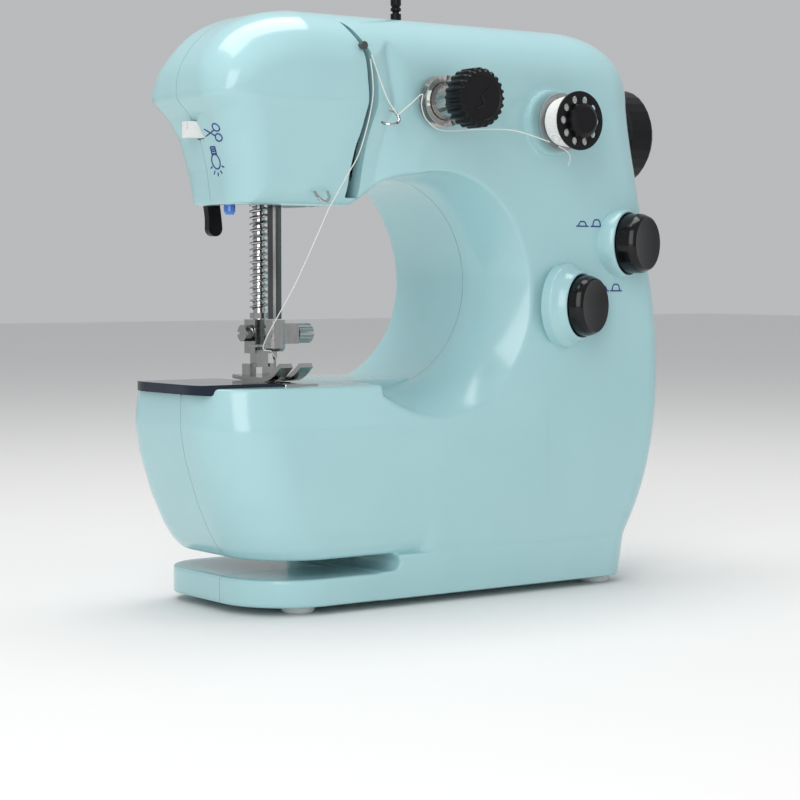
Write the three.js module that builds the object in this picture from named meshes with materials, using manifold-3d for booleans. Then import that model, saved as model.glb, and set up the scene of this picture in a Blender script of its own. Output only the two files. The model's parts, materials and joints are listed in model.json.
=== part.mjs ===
// A small household sewing machine with a free arm, in millimetres, +Z up, the needle side to the
// left and the handwheel to the right. Two plastic half shells meet on the plane Y = 0 and hold the
// shafts, belts, needle bar, presser bar, hook and switches.
import * as THREE from "three";
import { mergeVertices } from "three/addons/utils/BufferGeometryUtils.js";
import Module from "manifold-3d";

const wasm = await Module();
wasm.setup();

// ---------------------------------------------------------------- driving dimensions
const WALL = 2.4; // thickness of the moulded shells
const GAP = 0.3; // clearance between pieces that touch or turn in each other
const SEAM_GAP = 0.15; // each shell stops this far from the seam plane
const SHELL_TOP = 199.4; // top of the arm over the underside of the base
const TABLE_Z = 74; // top of the free arm, the sewing surface
const HEAD_BOTTOM = 134; // underside of the head
const HEAD_CREASE = 169; // where the head starts to narrow downwards
const ARM_CREASE = 60; // above it the free arm leans in to its top
const FRONT_Y = -28; // flat front of the arm and the column
const REAR_Y = 42; // flat back of the column and the free arm
const BASE_TOP = 16; // top of the base block under the column
const BASE_PLATE = 9.8; // thickness of the base under the free arm
const SLEEVE_GAP_END = 55; // how far the gap under the free arm reaches to the right
const EDGE_ROUND = 12; // rounding of the shell's outer edges
const THROAT = { x: 65.8, z: 108.4, r: 37.3 }; // the round end of the throat at the seam
const FUNNEL = { x: 74.8, z: 104, r: 43 }; // the same opening where it meets the front face
const DISH = { x: 85.5, z: 109.8, r: 53.2, slope: 8 }; // its rim on the front, mm in per mm deep
const FOOT_HEIGHT = 2.5;

const NEEDLE = { x: 22, y: 0 };
const PRESSER = { x: 22, y: 10 };
const SHAFT = { y: 7, z: 164, r: 3 }; // main shaft, along X
const LOWER_SHAFT = { y: 7, z: 44, r: 2.5 }; // lower shaft, along X
const HOOK = { x: 7, y: 7, r: 15 }; // the hook turns about a vertical axis
const MOTOR = { y: 7, z: 128, r: 12.5 };
const TENSION = { x: 69.5, z: 170 };
const SPINDLE = { x: 121, z: 165 };
const SPOOL_PIN = { x: 76, y: 4 };
const BUTTON_TILT = THREE.MathUtils.degToRad(20); // the buttons face this far to the right
const POWER_BUTTON = { x: 156.5, z: 122.5 };
const SPEED_BUTTON = { x: 131.5, z: 100 };
const CRANK_RADIUS = 11; // half of the needle bar's stroke
const CORNER_STEPS = 5; // straight pieces in each rounded corner outside
const ROOM_STEPS = 3; // and in the room inside
const SLIVER = 0.05; // edges and steps smaller than this are smoothed away after a cut

// ---------------------------------------------------------------- materials
const plastic = (color, roughness) => new THREE.MeshStandardMaterial({ color, roughness, metalness: 0 });
const metal = (color, roughness) => new THREE.MeshStandardMaterial({ color, roughness, metalness: 1 });
const TEAL = plastic(0x9fd3d8, 0.25);
const BLACK = plastic(0x101012, 0.4);
const WHITE = plastic(0xf2f2ee, 0.4);
const RUBBER = plastic(0xd9dcdc, 0.8);
const SMOKE = plastic(0x1a2530, 0.15);
const BLUE = plastic(0x2a6fd0, 0.3);
const CHROME = metal(0xd8dadc, 0.15);
const STEEL = metal(0x8f9499, 0.35);
const DARK_STEEL = metal(0x4b4e52, 0.3);
const BRASS = metal(0xb9975b, 0.4);
const THREAD = plastic(0xf4f4f0, 0.9);

// ---------------------------------------------------------------- building blocks
const machine = new THREE.Group();

/** A closed three.js geometry as a manifold solid. */
function solid(geometry) {
  const bare = geometry.index ? geometry.toNonIndexed() : geometry.clone();
  bare.deleteAttribute("normal");
  bare.deleteAttribute("uv");
  const merged = mergeVertices(bare, 1e-4);
  return new wasm.Manifold(
    new wasm.Mesh({
      numProp: 3,
      vertProperties: new Float32Array(merged.attributes.position.array),
      triVerts: new Uint32Array(merged.index.array),
    }),
  );
}

/** A manifold solid, or a geometry as it is, as a three.js geometry. */
function geometryOf(shape) {
  if (shape.isBufferGeometry) return shape;
  const cut = shape.getMesh();
  const geometry = new THREE.BufferGeometry();
  geometry.setAttribute("position", new THREE.BufferAttribute(new Float32Array(cut.vertProperties), 3));
  geometry.setIndex(new THREE.BufferAttribute(new Uint32Array(cut.triVerts), 1));
  geometry.computeVertexNormals();
  return geometry;
}

/** Adds a named sub-part to the machine. */
function addPart(name, shape, material) {
  const mesh = new THREE.Mesh(geometryOf(shape), material);
  mesh.name = name;
  machine.add(mesh);
  return mesh;
}

/** A solid box between two corners. */
function box(x0, x1, y0, y1, z0, z1) {
  const geometry = new THREE.BoxGeometry(x1 - x0, y1 - y0, z1 - z0);
  return solid(geometry.translate((x0 + x1) / 2, (y0 + y1) / 2, (z0 + z1) / 2));
}

/** Turns a geometry made about +Z so that its axis is X, Y or Z. */
function along(axis, geometry) {
  if (axis === "x") return geometry.rotateY(Math.PI / 2);
  if (axis === "y") return geometry.rotateX(-Math.PI / 2);
  return geometry;
}

/** The same geometry with its faces turned round. */
function flipped(geometry) {
  const copy = geometry.index ? geometry.toNonIndexed() : geometry.clone();
  const p = copy.attributes.position;
  for (let i = 0; i < p.count; i += 3) {
    const a = new THREE.Vector3().fromBufferAttribute(p, i);
    const b = new THREE.Vector3().fromBufferAttribute(p, i + 1);
    p.setXYZ(i, b.x, b.y, b.z);
    p.setXYZ(i + 1, a.x, a.y, a.z);
  }
  return copy;
}

/** A round bar between two heights along an axis; the other two coordinates place it. */
function bar(axis, from, to, radius, place, segments = 24) {
  const geometry = new THREE.CylinderGeometry(radius, radius, to - from, segments).rotateX(Math.PI / 2);
  const middle = (from + to) / 2;
  const turnedBar = along(axis, geometry);
  if (axis === "x") turnedBar.translate(middle, place[0], place[1]);
  if (axis === "y") turnedBar.translate(place[0], middle, place[1]);
  if (axis === "z") turnedBar.translate(place[0], place[1], middle);
  return solid(turnedBar);
}

/** A shape drawn in X and Z, made solid between two Y planes. */
function prismY(shape, y0, y1, bevel = 0, bevelSegments = 5) {
  const geometry = new THREE.ExtrudeGeometry(shape, {
    depth: y1 - y0 - 2 * bevel,
    bevelEnabled: bevel > 0,
    bevelThickness: bevel,
    bevelSize: bevel,
    bevelOffset: -bevel,
    bevelSegments,
    curveSegments: 8,
  });
  return solid(geometry.rotateX(Math.PI / 2).translate(0, y1 - bevel, 0));
}

/** A shape drawn in X and Y, made solid between two heights. */
function prismZ(shape, z0, z1) {
  const settings = { depth: z1 - z0, bevelEnabled: false, curveSegments: 8 };
  const geometry = new THREE.ExtrudeGeometry(shape, settings);
  return solid(geometry.translate(0, 0, z0));
}

/** A rounded rectangle as a shape. */
function roundedRect(x0, x1, y0, y1, radius) {
  const shape = new THREE.Shape();
  shape.moveTo(x0 + radius, y0);
  shape.lineTo(x1 - radius, y0);
  shape.absarc(x1 - radius, y0 + radius, radius, -Math.PI / 2, 0, false);
  shape.lineTo(x1, y1 - radius);
  shape.absarc(x1 - radius, y1 - radius, radius, 0, Math.PI / 2, false);
  shape.lineTo(x0 + radius, y1);
  shape.absarc(x0 + radius, y1 - radius, radius, Math.PI / 2, Math.PI, false);
  shape.lineTo(x0, y0 + radius);
  shape.absarc(x0 + radius, y0 + radius, radius, Math.PI, 1.5 * Math.PI, false);
  return shape;
}

/** A solid through rings of equal point counts, closed at both ends. */
function loft(rings) {
  const count = rings[0].length;
  const corners = [];
  const push = (...points) => points.forEach((p) => corners.push(p.x, p.y, p.z));
  for (let level = 0; level + 1 < rings.length; level++) {
    for (let i = 0; i < count; i++) {
      const j = (i + 1) % count;
      const [a, b] = [rings[level][i], rings[level][j]];
      const [c, d] = [rings[level + 1][j], rings[level + 1][i]];
      push(a, b, c, a, c, d);
    }
  }
  const last = rings.length - 1;
  for (let i = 1; i + 1 < count; i++) {
    push(rings[0][0], rings[0][i + 1], rings[0][i]);
    push(rings[last][0], rings[last][i], rings[last][i + 1]);
  }
  const geometry = new THREE.BufferGeometry();
  geometry.setAttribute("position", new THREE.Float32BufferAttribute(corners, 3));
  const made = solid(geometry);
  return made.volume() > 0 ? made : solid(flipped(geometry));
}

/** A stack of rounded rectangles in plan: each level gives its height, its sides and its radii. */
function stack(levels, steps = CORNER_STEPS) {
  return loft(levels.map((level) => planRing(level, steps)));
}

/** One level of a stack: corners in the order front right, rear right, rear left, front left. */
function planRing({ z, left, right, front, rear, frontRadius, rearRadius, rightRadius }, steps) {
  const r = rightRadius ?? rearRadius;
  const corners = [
    [right - r, front + r, r, -Math.PI / 2],
    [right - r, rear - r, r, 0],
    [left + rearRadius, rear - rearRadius, rearRadius, Math.PI / 2],
    [left + frontRadius, front + frontRadius, frontRadius, Math.PI],
  ];
  const ring = [];
  for (const [x, y, radius, start] of corners) {
    for (let i = 0; i <= steps; i++) {
      const angle = start + (Math.PI / 2) * (i / steps);
      ring.push(new THREE.Vector3(x + radius * Math.cos(angle), y + radius * Math.sin(angle), z));
    }
  }
  return ring;
}

// ---------------------------------------------------------------- the moulded body
/** The column and the arm as a slab with rounded edges, drawn in X and Z. */
function columnShape(inset) {
  const shape = new THREE.Shape();
  const top = SHELL_TOP - inset;
  const side = 167 - inset;
  const corner = { x: 36 - inset, z: 27 - inset };
  shape.moveTo(42, BASE_TOP - 8);
  shape.lineTo(159 - inset, BASE_TOP - 8);
  shape.lineTo(163 - inset, BASE_TOP);
  shape.quadraticCurveTo(176 - inset, 36, 178 - inset, 64);
  shape.quadraticCurveTo(179.4 - inset, 86, 175 - inset, 108);
  shape.quadraticCurveTo(170 - inset, 128, side, top - corner.z);
  shape.absellipse(side - corner.x, top - corner.z, corner.x, corner.z, 0, Math.PI / 2, false);
  shape.lineTo(42, top);
  return shape;
}

/** The head, narrower below its crease and rounded above it. */
function headBody(inset) {
  const levels = [
    [HEAD_BOTTOM, -3, -19.5, 20, 9],
    [146, -4.6, -21.6, 21.2, 10],
    [157, -7.5, -24, 22.5, 11],
    [163.5, -11, -26, 24, 12],
    [HEAD_CREASE, -15.8, -28.2, 26, 13],
    [171.5, -16.2, -28.4, 26.4, 14],
    [178, -15.2, -28.2, 26.4, 16],
    [184, -12, -27.2, 26, 18],
    [189, -7.6, -25.4, 24.6, 20],
    [193, -2.4, -22.8, 22.4, 20],
    [196, 4, -19.6, 19.6, 17],
    [198, 11.5, -15.6, 15.8, 13],
    [SHELL_TOP - 0.3, 20, -11, 11.5, 8],
  ];
  return stack(
    levels.map(([z, left, front, rear, radius], i) => ({
      z: i === 0 ? z + inset : z - inset * Math.max(0, (z - HEAD_CREASE) / (SHELL_TOP - HEAD_CREASE)),
      left: left + inset,
      right: 50,
      front: front + inset,
      rear: rear - inset,
      frontRadius: radius - inset / 2,
      rearRadius: radius - inset / 2,
      rightRadius: 3,
    })),
    inset > 0 ? ROOM_STEPS : CORNER_STEPS,
  );
}

/** The free arm: a deep rounded trough that narrows to the base. */
function freeArmBody(inset) {
  const levels = [
    [BASE_PLATE + 5.5, 2.9, -25.5, 39.5, 14],
    [19, -1, -26.8, 41, 16],
    [25, -4.6, -27.6, 41.6, 17],
    [36, -9.4, -28.2, REAR_Y, 18],
    [50, -13.7, -28.2, REAR_Y, 20],
    [ARM_CREASE, -15.3, -28.2, REAR_Y, 21],
    [68, -15.2, -26.6, 41.6, 21],
    [TABLE_Z - 1, -14.9, -25.4, 41, 21],
    [TABLE_Z, -14.1, -24.6, 40.2, 20.4],
  ];
  return stack(
    levels.map(([z, left, front, rear, radius], i) => ({
      z: i === 0 ? z + inset : Math.min(z, TABLE_Z - inset - (i === levels.length - 1 ? 0 : 0.6)),
      left: left + inset,
      right: 120,
      front: front + inset,
      rear: rear - inset,
      frontRadius: radius + 3 - inset / 2,
      rearRadius: 15 - inset / 2,
      rightRadius: 3,
    })),
    inset > 0 ? ROOM_STEPS : CORNER_STEPS,
  );
}

/** The base: a plate under the free arm and a block under the column. */
function baseBody(inset) {
  const plate = { left: -0.5 + inset, right: 163.2 - inset, front: -27.6 + inset, rear: 44 - inset };
  const radii = { frontRadius: 26 - inset, rearRadius: 18 - inset, rightRadius: 14 - inset };
  const low = stack([
    { z: inset, ...plate, ...radii },
    { z: BASE_PLATE - inset - 0.8, ...plate, ...radii },
    { z: BASE_PLATE - inset, ...plate, left: plate.left + 0.8, front: plate.front + 0.8, ...radii },
  ]);
  const block = stack([
    { z: inset, ...plate, ...radii, left: SLEEVE_GAP_END - 10, frontRadius: 2 },
    { z: BASE_TOP + 2, ...plate, ...radii, left: SLEEVE_GAP_END - 10, frontRadius: 2 },
  ]);
  return low.add(block);
}

/** The throat behind the seam and its funnel in front of it, grown outwards by a margin. */
function throatCutter(margin) {
  const shape = new THREE.Shape();
  const { x, z, r } = THROAT;
  const low = Math.asin((z - TABLE_Z) / r);
  const high = THREE.MathUtils.degToRad(112);
  shape.moveTo(-60, TABLE_Z - margin);
  shape.lineTo(x + (r + margin) * Math.cos(low), TABLE_Z - margin);
  shape.absarc(x, z, r + margin, -low, high, false);
  shape.lineTo(41, HEAD_BOTTOM + margin);
  shape.lineTo(-60, HEAD_BOTTOM + margin);
  return prismY(shape, -60, 80).add(funnel(margin));
}

/** The funnel: rings from the seam to the front face, cut off square on the left. */
function funnel(margin) {
  const ringAt = (y) => {
    const t = y / FRONT_Y;
    const flare = t * t;
    const x = THREE.MathUtils.lerp(THROAT.x, FUNNEL.x, flare);
    const z = THREE.MathUtils.lerp(THROAT.z, FUNNEL.z, flare);
    const r = THREE.MathUtils.lerp(THROAT.r, FUNNEL.r, flare) + margin;
    const reach = Math.acos((52 - x) / r);
    const steps = 22;
    return Array.from({ length: steps + 1 }, (_, i) => {
      const angle = reach * ((2 * i) / steps - 1);
      return new THREE.Vector3(x + r * Math.cos(angle), y, z + r * Math.sin(angle));
    });
  };
  return loft([0.01, -7, -14, -21, -26, FRONT_Y, FRONT_Y - 4].map(ringAt));
}

/** The shallow cone that dishes the front face round the funnel. */
function dishCutter(margin) {
  const radiusAt = (depth) => DISH.r - DISH.slope * depth + margin;
  const [proud, deep] = [-2, 3];
  const cone = new THREE.CylinderGeometry(radiusAt(deep), radiusAt(proud), deep - proud, 44);
  return solid(cone.translate(DISH.x, FRONT_Y + (proud + deep) / 2 + margin, DISH.z));
}

/** The gap under the free arm, open to the left, the front and the back. */
function sleeveGap(margin) {
  const high = BASE_PLATE + 5.5 + margin;
  const low = BASE_PLATE - margin;
  const shape = new THREE.Shape();
  const radius = (high - low) / 2;
  shape.moveTo(-60, low);
  shape.lineTo(SLEEVE_GAP_END - radius + margin, low);
  shape.absarc(SLEEVE_GAP_END - radius + margin, (high + low) / 2, radius, -Math.PI / 2, Math.PI / 2, false);
  shape.lineTo(-60, high);
  return prismY(shape, -60, 80);
}

/** A cutter through rings in Y and Z at given X places. */
function alongArm(sections) {
  return loft(sections.map(([x, outline]) => outline.map(([y, z]) => new THREE.Vector3(x, y, z))));
}

/** The face between the slot and the funnel leans back as the head does, and fades out to the right. */
function neckCutter(margin) {
  const front = FRONT_Y + margin;
  const outline = (depth) => [
    [FRONT_Y - 6, HEAD_CREASE - 3],
    [front, HEAD_CREASE - 3],
    [front + depth, HEAD_BOTTOM - 4],
    [FRONT_Y - 6, HEAD_BOTTOM - 4],
  ];
  return alongArm([
    [42, outline(9.5)],
    [52, outline(7)],
    [68, outline(0)],
  ]);
}

/** Takes the back of the arm in towards the head. */
function backCutter(margin) {
  const outline = (rear) => [
    [90, HEAD_BOTTOM - 24],
    [90, SHELL_TOP + 10],
    [rear - margin - 12, SHELL_TOP + 2 - margin],
    [rear - margin - 5, SHELL_TOP - 3.5 - margin],
    [rear - margin, SHELL_TOP - 10 - margin],
    [rear - margin, HEAD_CREASE],
    [rear - margin - 6.5, HEAD_BOTTOM - 2],
    [rear - margin - 6.5, HEAD_BOTTOM - 24],
  ];
  return alongArm([
    [38, outline(26.4)],
    [60, outline(28)],
    [84, outline(36)],
    [112, outline(54)],
  ]);
}

/** The whole outer form, or the room inside it when inset by the wall. */
function bodyForm(inset) {
  const roundSteps = inset > 0 ? 2 : 5;
  const slab = prismY(columnShape(inset), FRONT_Y + inset, REAR_Y - inset, EDGE_ROUND - inset, roundSteps);
  const column = slab.subtract(backCutter(inset));
  let form = column.add(headBody(inset)).add(freeArmBody(inset)).add(baseBody(inset));
  form = form.subtract(throatCutter(inset)).subtract(sleeveGap(inset)).subtract(dishCutter(inset));
  return form.subtract(neckCutter(inset));
}

/** The largest body of a cut solid, without the crumbs and slivers that a cut can leave. */
function whole(shape) {
  const largest = (pieces) => pieces.reduce((most, piece) => (piece.volume() > most.volume() ? piece : most));
  return largest(largest(shape.decompose()).asOriginal().simplify(SLIVER).decompose());
}

/** Moves a solid made about the Y axis to a place on the front, turned to face right by an angle. */
function onFront(geometry, x, y, z, tilt = 0) {
  return geometry.rotateZ(tilt).translate(x, y, z);
}

/** A disc or pin about Y between two Y values, at a place on the front, then tilted to the right. */
function frontPin(y0, y1, radius, at, tilt = 0, segments = 28) {
  const geometry = new THREE.CylinderGeometry(radius, radius, y1 - y0, segments);
  geometry.translate(0, (y0 + y1) / 2 - FRONT_Y, 0);
  return solid(onFront(geometry, at.x, FRONT_Y, at.z, tilt));
}

/** A lathe about the Y axis: the profile holds [radius, Y] pairs. */
function turnedFront(profile, at, segments = 20) {
  const points = profile.map(([r, y]) => new THREE.Vector2(r, y));
  const geometry = new THREE.LatheGeometry(points, segments).translate(at.x, 0, at.z);
  const made = solid(geometry);
  return made.volume() > 0 ? made : solid(flipped(geometry));
}

/** A lathe about the X axis: the profile holds [radius, X] pairs. */
function turnedSide(profile, at, segments = 20) {
  const points = profile.map(([r, x]) => new THREE.Vector2(r, x));
  const geometry = new THREE.LatheGeometry(points, segments).rotateZ(-Math.PI / 2).translate(0, at.y, at.z);
  const made = solid(geometry);
  return made.volume() > 0 ? made : solid(flipped(geometry));
}

/** A lathe about a vertical axis: the profile holds [radius, height] pairs. */
function turnedUp(profile, at, segments = 20) {
  const points = profile.map(([r, z]) => new THREE.Vector2(r, z));
  const geometry = new THREE.LatheGeometry(points, segments).rotateX(Math.PI / 2).translate(at.x, at.y, 0);
  const made = solid(geometry);
  return made.volume() > 0 ? made : solid(flipped(geometry));
}

/** A round wire along points, joined by a smooth curve. */
function wire(points, radius, steps = 12, sides = 8) {
  const path = new THREE.CatmullRomCurve3(points.map(([x, y, z]) => new THREE.Vector3(x, y, z)));
  const section = new THREE.Shape().absarc(0, 0, radius, 0, 2 * Math.PI, false);
  const settings = { steps, curveSegments: sides / 2, bevelEnabled: false, extrudePath: path };
  return new THREE.ExtrudeGeometry(section, settings);
}

// ---------------------------------------------------------------- cuts through the shells
const COVER = { left: -17, right: 16.2, front: -14, rear: 28, bottom: 71.6, top: 74.8 };
const PLATE = { left: 17, right: 31, front: -14, rear: 22, bottom: 72.4, top: 74.2 };
const TAKE_UP = { x: 2.6, y: -20.5, z: 168, reach: 41.5 }; // the take-up lever's pivot and length
const SLOT_FOOT = HEAD_BOTTOM + 3; // lower end of the take-up slot
const SLOT_HALF = 1.7; // half the width of the take-up slot
const LIFTER = { x: 10.6, z: 140 };
const HANDWHEEL = { inner: 174, outer: 188.4, r: 18 };
const JACKS = [
  { name: "power_jack", x: 150, z: 30 },
  { name: "pedal_jack", x: 134, z: 30 },
];
const SEAM_SCREWS = [
  { x: 150, z: 185 },
  { x: 72, z: 168 },
  { x: 165, z: 60 },
  { x: 30, z: 40 },
];
const BOTTOM_COVER = { left: 32, right: 142, front: -20, rear: 36 };
const BATTERY_DOOR = { left: 66, right: 130, front: -12, rear: 28 };
const BUTTONS = [
  { name: "power", at: POWER_BUTTON },
  { name: "speed", at: SPEED_BUTTON },
];
const BUTTON = { r: 10.9, bossR: 13, bossFront: -33, front: -38, travel: 3 };

/** The slot that the take-up lever runs in, with a leg that ends above the underside of the head. */
function takeUpSlot() {
  const { x, z, reach } = TAKE_UP;
  const [right, left, top] = [-10, -12, 31].map(THREE.MathUtils.degToRad);
  const shape = new THREE.Shape();
  shape.moveTo(37.9, SLOT_FOOT);
  shape.lineTo(43, SLOT_FOOT);
  shape.absarc(x, z, reach + SLOT_HALF, right, top, false);
  shape.absarc(x, z, reach - SLOT_HALF, top, left, true);
  return prismY(shape, FRONT_Y - 5, FRONT_Y + 17);
}

/** The boss that carries a button: its face looks to the right with the button. */
function buttonBoss(at) {
  return frontPin(BUTTON.bossFront, FRONT_Y + WALL, BUTTON.bossR, at, BUTTON_TILT);
}

const frontHalf = box(-100, 300, -100, -SEAM_GAP, -50, 300);
const rearHalf = box(-100, 300, SEAM_GAP, 100, -50, 300);
const hollowBody = bodyForm(0).subtract(bodyForm(WALL));

/** Cuts that cross the seam and are made in both shells. */
function cutBoth(shell) {
  const { left, right, front, rear, bottom } = COVER;
  return shell
    .subtract(box(2.5, 36, -8, 18, HEAD_BOTTOM - 4, HEAD_BOTTOM + WALL + 4))
    .subtract(box(left - 8, right + GAP, front - GAP, rear + GAP, bottom - GAP, 90))
    .subtract(box(PLATE.left - GAP, PLATE.right + GAP, PLATE.front - GAP, PLATE.rear + GAP, 60, 90))
    .subtract(
      box(
        BOTTOM_COVER.left - GAP,
        BOTTOM_COVER.right + GAP,
        BOTTOM_COVER.front - GAP,
        BOTTOM_COVER.rear + GAP,
        -5,
        WALL + 2,
      ),
    )
    .subtract(box(-20, -2, -3.3, 2.3, 156, 162));
}

/** The front shell with its button bosses, bobbin boss, slot and holes. */
function frontShell() {
  let shell = hollowBody.intersect(frontHalf);
  shell = shell.add(frontPin(FRONT_Y - 2.4, FRONT_Y + 1, 11.2, SPINDLE));
  for (const { at } of BUTTONS) shell = shell.add(buttonBoss(at));
  for (const { at } of BUTTONS) {
    shell = shell.subtract(frontPin(BUTTON.front - 6, FRONT_Y + 12, BUTTON.r + GAP, at, BUTTON_TILT));
  }
  shell = shell.subtract(frontPin(FRONT_Y - 5, FRONT_Y + 5, 2.6, SPINDLE));
  shell = shell.subtract(frontPin(FRONT_Y - 5, FRONT_Y + 5, 2.3, TENSION));
  return whole(cutBoth(shell.subtract(takeUpSlot())));
}

/** The rear shell with its jack, screw, lifter, shaft and spool pin holes. */
function rearShell() {
  let shell = hollowBody.intersect(rearHalf);
  for (const { x, z } of JACKS) shell = shell.subtract(bar("y", REAR_Y - 6, REAR_Y + 6, 4.2, [x, z]));
  for (const { x, z } of SEAM_SCREWS) {
    shell = shell.subtract(bar("y", REAR_Y - 16, REAR_Y + 6, 3, [x, z], 16));
  }
  shell = shell.subtract(bar("y", 12, REAR_Y, 3.3, [LIFTER.x, LIFTER.z]));
  shell = shell.subtract(bar("x", 160, 190, 4, [SHAFT.y, SHAFT.z]));
  return whole(cutBoth(shell.subtract(bar("z", 190, 210, 2.1, [SPOOL_PIN.x, SPOOL_PIN.y]))));
}

addPart("front_shell", frontShell(), TEAL);
addPart("rear_shell", rearShell(), TEAL);

// ---------------------------------------------------------------- underside
function bottomCover() {
  const { left, right, front, rear } = BOTTOM_COVER;
  const door = BATTERY_DOOR;
  const plate = prismZ(roundedRect(left, right, front, rear, 0.5), 0, WALL);
  return plate.subtract(
    box(door.left - GAP, door.right + GAP, door.front - GAP, door.rear + GAP, -2, WALL + 2),
  );
}

addPart("bottom_cover", bottomCover(), TEAL);
addPart(
  "battery_door",
  prismZ(roundedRect(BATTERY_DOOR.left, BATTERY_DOOR.right, BATTERY_DOOR.front, BATTERY_DOOR.rear, 1), 0, 2),
  TEAL,
);

const FOOT_PLACES = [
  ["front_left", 20.7, -16],
  ["front_right", 151, -18],
  ["rear_left", 20.7, 32],
  ["rear_right", 151, 32],
];
for (const [corner, x, y] of FOOT_PLACES) {
  const profile = [
    [0, -FOOT_HEIGHT - GAP],
    [4.8, -FOOT_HEIGHT - GAP],
    [5.6, -FOOT_HEIGHT + 0.4],
    [5.6, -GAP],
    [0, -GAP],
  ];
  addPart(`foot_${corner}`, turnedUp(profile, { x, y }, 20), RUBBER);
}

// ---------------------------------------------------------------- sewing bed
/** The sliding bobbin cover: its outer end follows the arm's rounded end. */
function bobbinCover() {
  const { left, right, front, rear, bottom, top } = COVER;
  const armEnd = prismZ(roundedRect(left, 60, -25.6, 41.4, 20), bottom, top);
  const fingerGrip = box(2, 12, front + 2.6, front + 4, top - 0.6, top + 1);
  return armEnd.intersect(box(left, right, front, rear, bottom - 1, top + 1)).subtract(fingerGrip);
}

addPart("bobbin_cover", bobbinCover(), SMOKE);

const FEED = { rows: [19, 25], front: -5, rear: 7, toothTop: 74.5 };

function needlePlate() {
  const { left, right, front, rear, bottom, top } = PLATE;
  let plate = prismZ(roundedRect(left, right, front, rear, 1.5), bottom, top);
  for (const x of FEED.rows) plate = plate.subtract(box(x - 1.2, x + 1.2, -8, 10, 60, 90));
  return plate.subtract(bar("z", 60, 90, 0.9, [NEEDLE.x, NEEDLE.y], 16));
}

function feedDog() {
  let dog = box(18, 26, 3, FEED.rear, 70, 71.8);
  for (const x of FEED.rows) {
    dog = dog.add(box(x - 0.8, x + 0.8, FEED.front, FEED.rear, 70, FEED.toothTop - 0.7));
    for (let y = FEED.front; y < FEED.rear - 1; y += 1.5) {
      const tooth = new THREE.Shape();
      tooth.moveTo(y, FEED.toothTop - 0.8);
      tooth.lineTo(y + 1.4, FEED.toothTop - 0.8);
      tooth.lineTo(y + 1.2, FEED.toothTop);
      const geometry = new THREE.ExtrudeGeometry(tooth, { depth: 1.6, bevelEnabled: false });
      geometry.rotateX(Math.PI / 2).rotateZ(Math.PI / 2).translate(x - 0.8, 0, 0);
      dog = dog.add(solid(geometry));
    }
  }
  return dog;
}

addPart("needle_plate", needlePlate(), CHROME);
addPart("feed_dog", feedDog(), STEEL);

/** The bush of the hook's upright shaft, held by the rear shell. */
const hookBore = bar("z", 40, 50, 2.8, [HOOK.x, HOOK.y], 16);
addPart("hook_bush", box(1, 12.5, 0, 34, 44.5, 48.2).subtract(hookBore), BRASS);

const hookProfile = [
  [0, 42],
  [2.5, 42],
  [2.5, 56],
  [HOOK.r, 57],
  [HOOK.r, 69],
  [12.6, 69],
  [12.6, 58.6],
  [0, 58.6],
];
const hookGear = turnedUp([[2, 49], [5.4, 49], [4.2, 52], [2, 52], [2, 49]], HOOK, 20);
addPart("shuttle_hook", turnedUp(hookProfile, HOOK).add(hookGear), STEEL);

/** A sewing machine bobbin about an axis: two flanges on a tube. */
function bobbinProfile(from, to, bore) {
  const rim = 10.25;
  const flange = 1;
  const hub = 4.2;
  return [
    [bore, from],
    [rim, from],
    [rim, from + flange],
    [hub, from + flange],
    [hub, to - flange],
    [rim, to - flange],
    [rim, to],
    [bore, to],
    [bore, from],
  ];
}

addPart("lower_bobbin", turnedUp(bobbinProfile(59.4, 70.4, 2.6), HOOK), WHITE);

// ---------------------------------------------------------------- needle and presser bars
const BAR_R = 2.4;
const PRESSER_R = 2;
const HEEL_LIFT = 0.5; // the foot's heel clears the plate by this much, so that the foot can tilt

/** The needle bar with the slotted yoke that the crank drives. */
function needleBar() {
  return bar("z", 96, 172, BAR_R, [NEEDLE.x, NEEDLE.y], 16)
    .add(box(24.8, 27.4, -5, 18.8, 149.4, 157))
    .add(box(19, 25.2, -3.6, 3.6, 149.4, 157))
    .subtract(box(24.6, 28, -3.4, 17.2, 151.2, 154.8));
}

addPart("needle_bar", needleBar(), DARK_STEEL);

/** The block under the needle bar that grips the needle, with its screw boss and thread guide. */
function needleClamp() {
  const body = turnedUp([[0, 85], [3, 85], [3.6, 86], [3.6, 95.7], [0, 95.7]], NEEDLE, 20);
  const block = box(NEEDLE.x + 2, NEEDLE.x + 8, -3, 3, 87.5, 94.5);
  const guide = box(12.4, NEEDLE.x, -1.5, 1.5, 86.6, 87.4);
  return body.add(block).add(guide).subtract(bar("z", 80, 94, 1.1, [NEEDLE.x, NEEDLE.y], 12));
}

addPart("needle_clamp", needleClamp(), CHROME);

/** A knurled cylinder about X: every second point of its outline stands proud. */
function knurledSide(from, to, radius, depth, count, at) {
  const shape = new THREE.Shape();
  for (let i = 0; i < 2 * count; i++) {
    const angle = (Math.PI * i) / count;
    const r = i % 2 ? radius : radius - depth;
    shape[i ? "lineTo" : "moveTo"](r * Math.cos(angle), r * Math.sin(angle));
  }
  const geometry = new THREE.ExtrudeGeometry(shape, { depth: to - from, bevelEnabled: false });
  return solid(geometry.rotateY(Math.PI / 2).translate(from, at.y, at.z));
}

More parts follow.
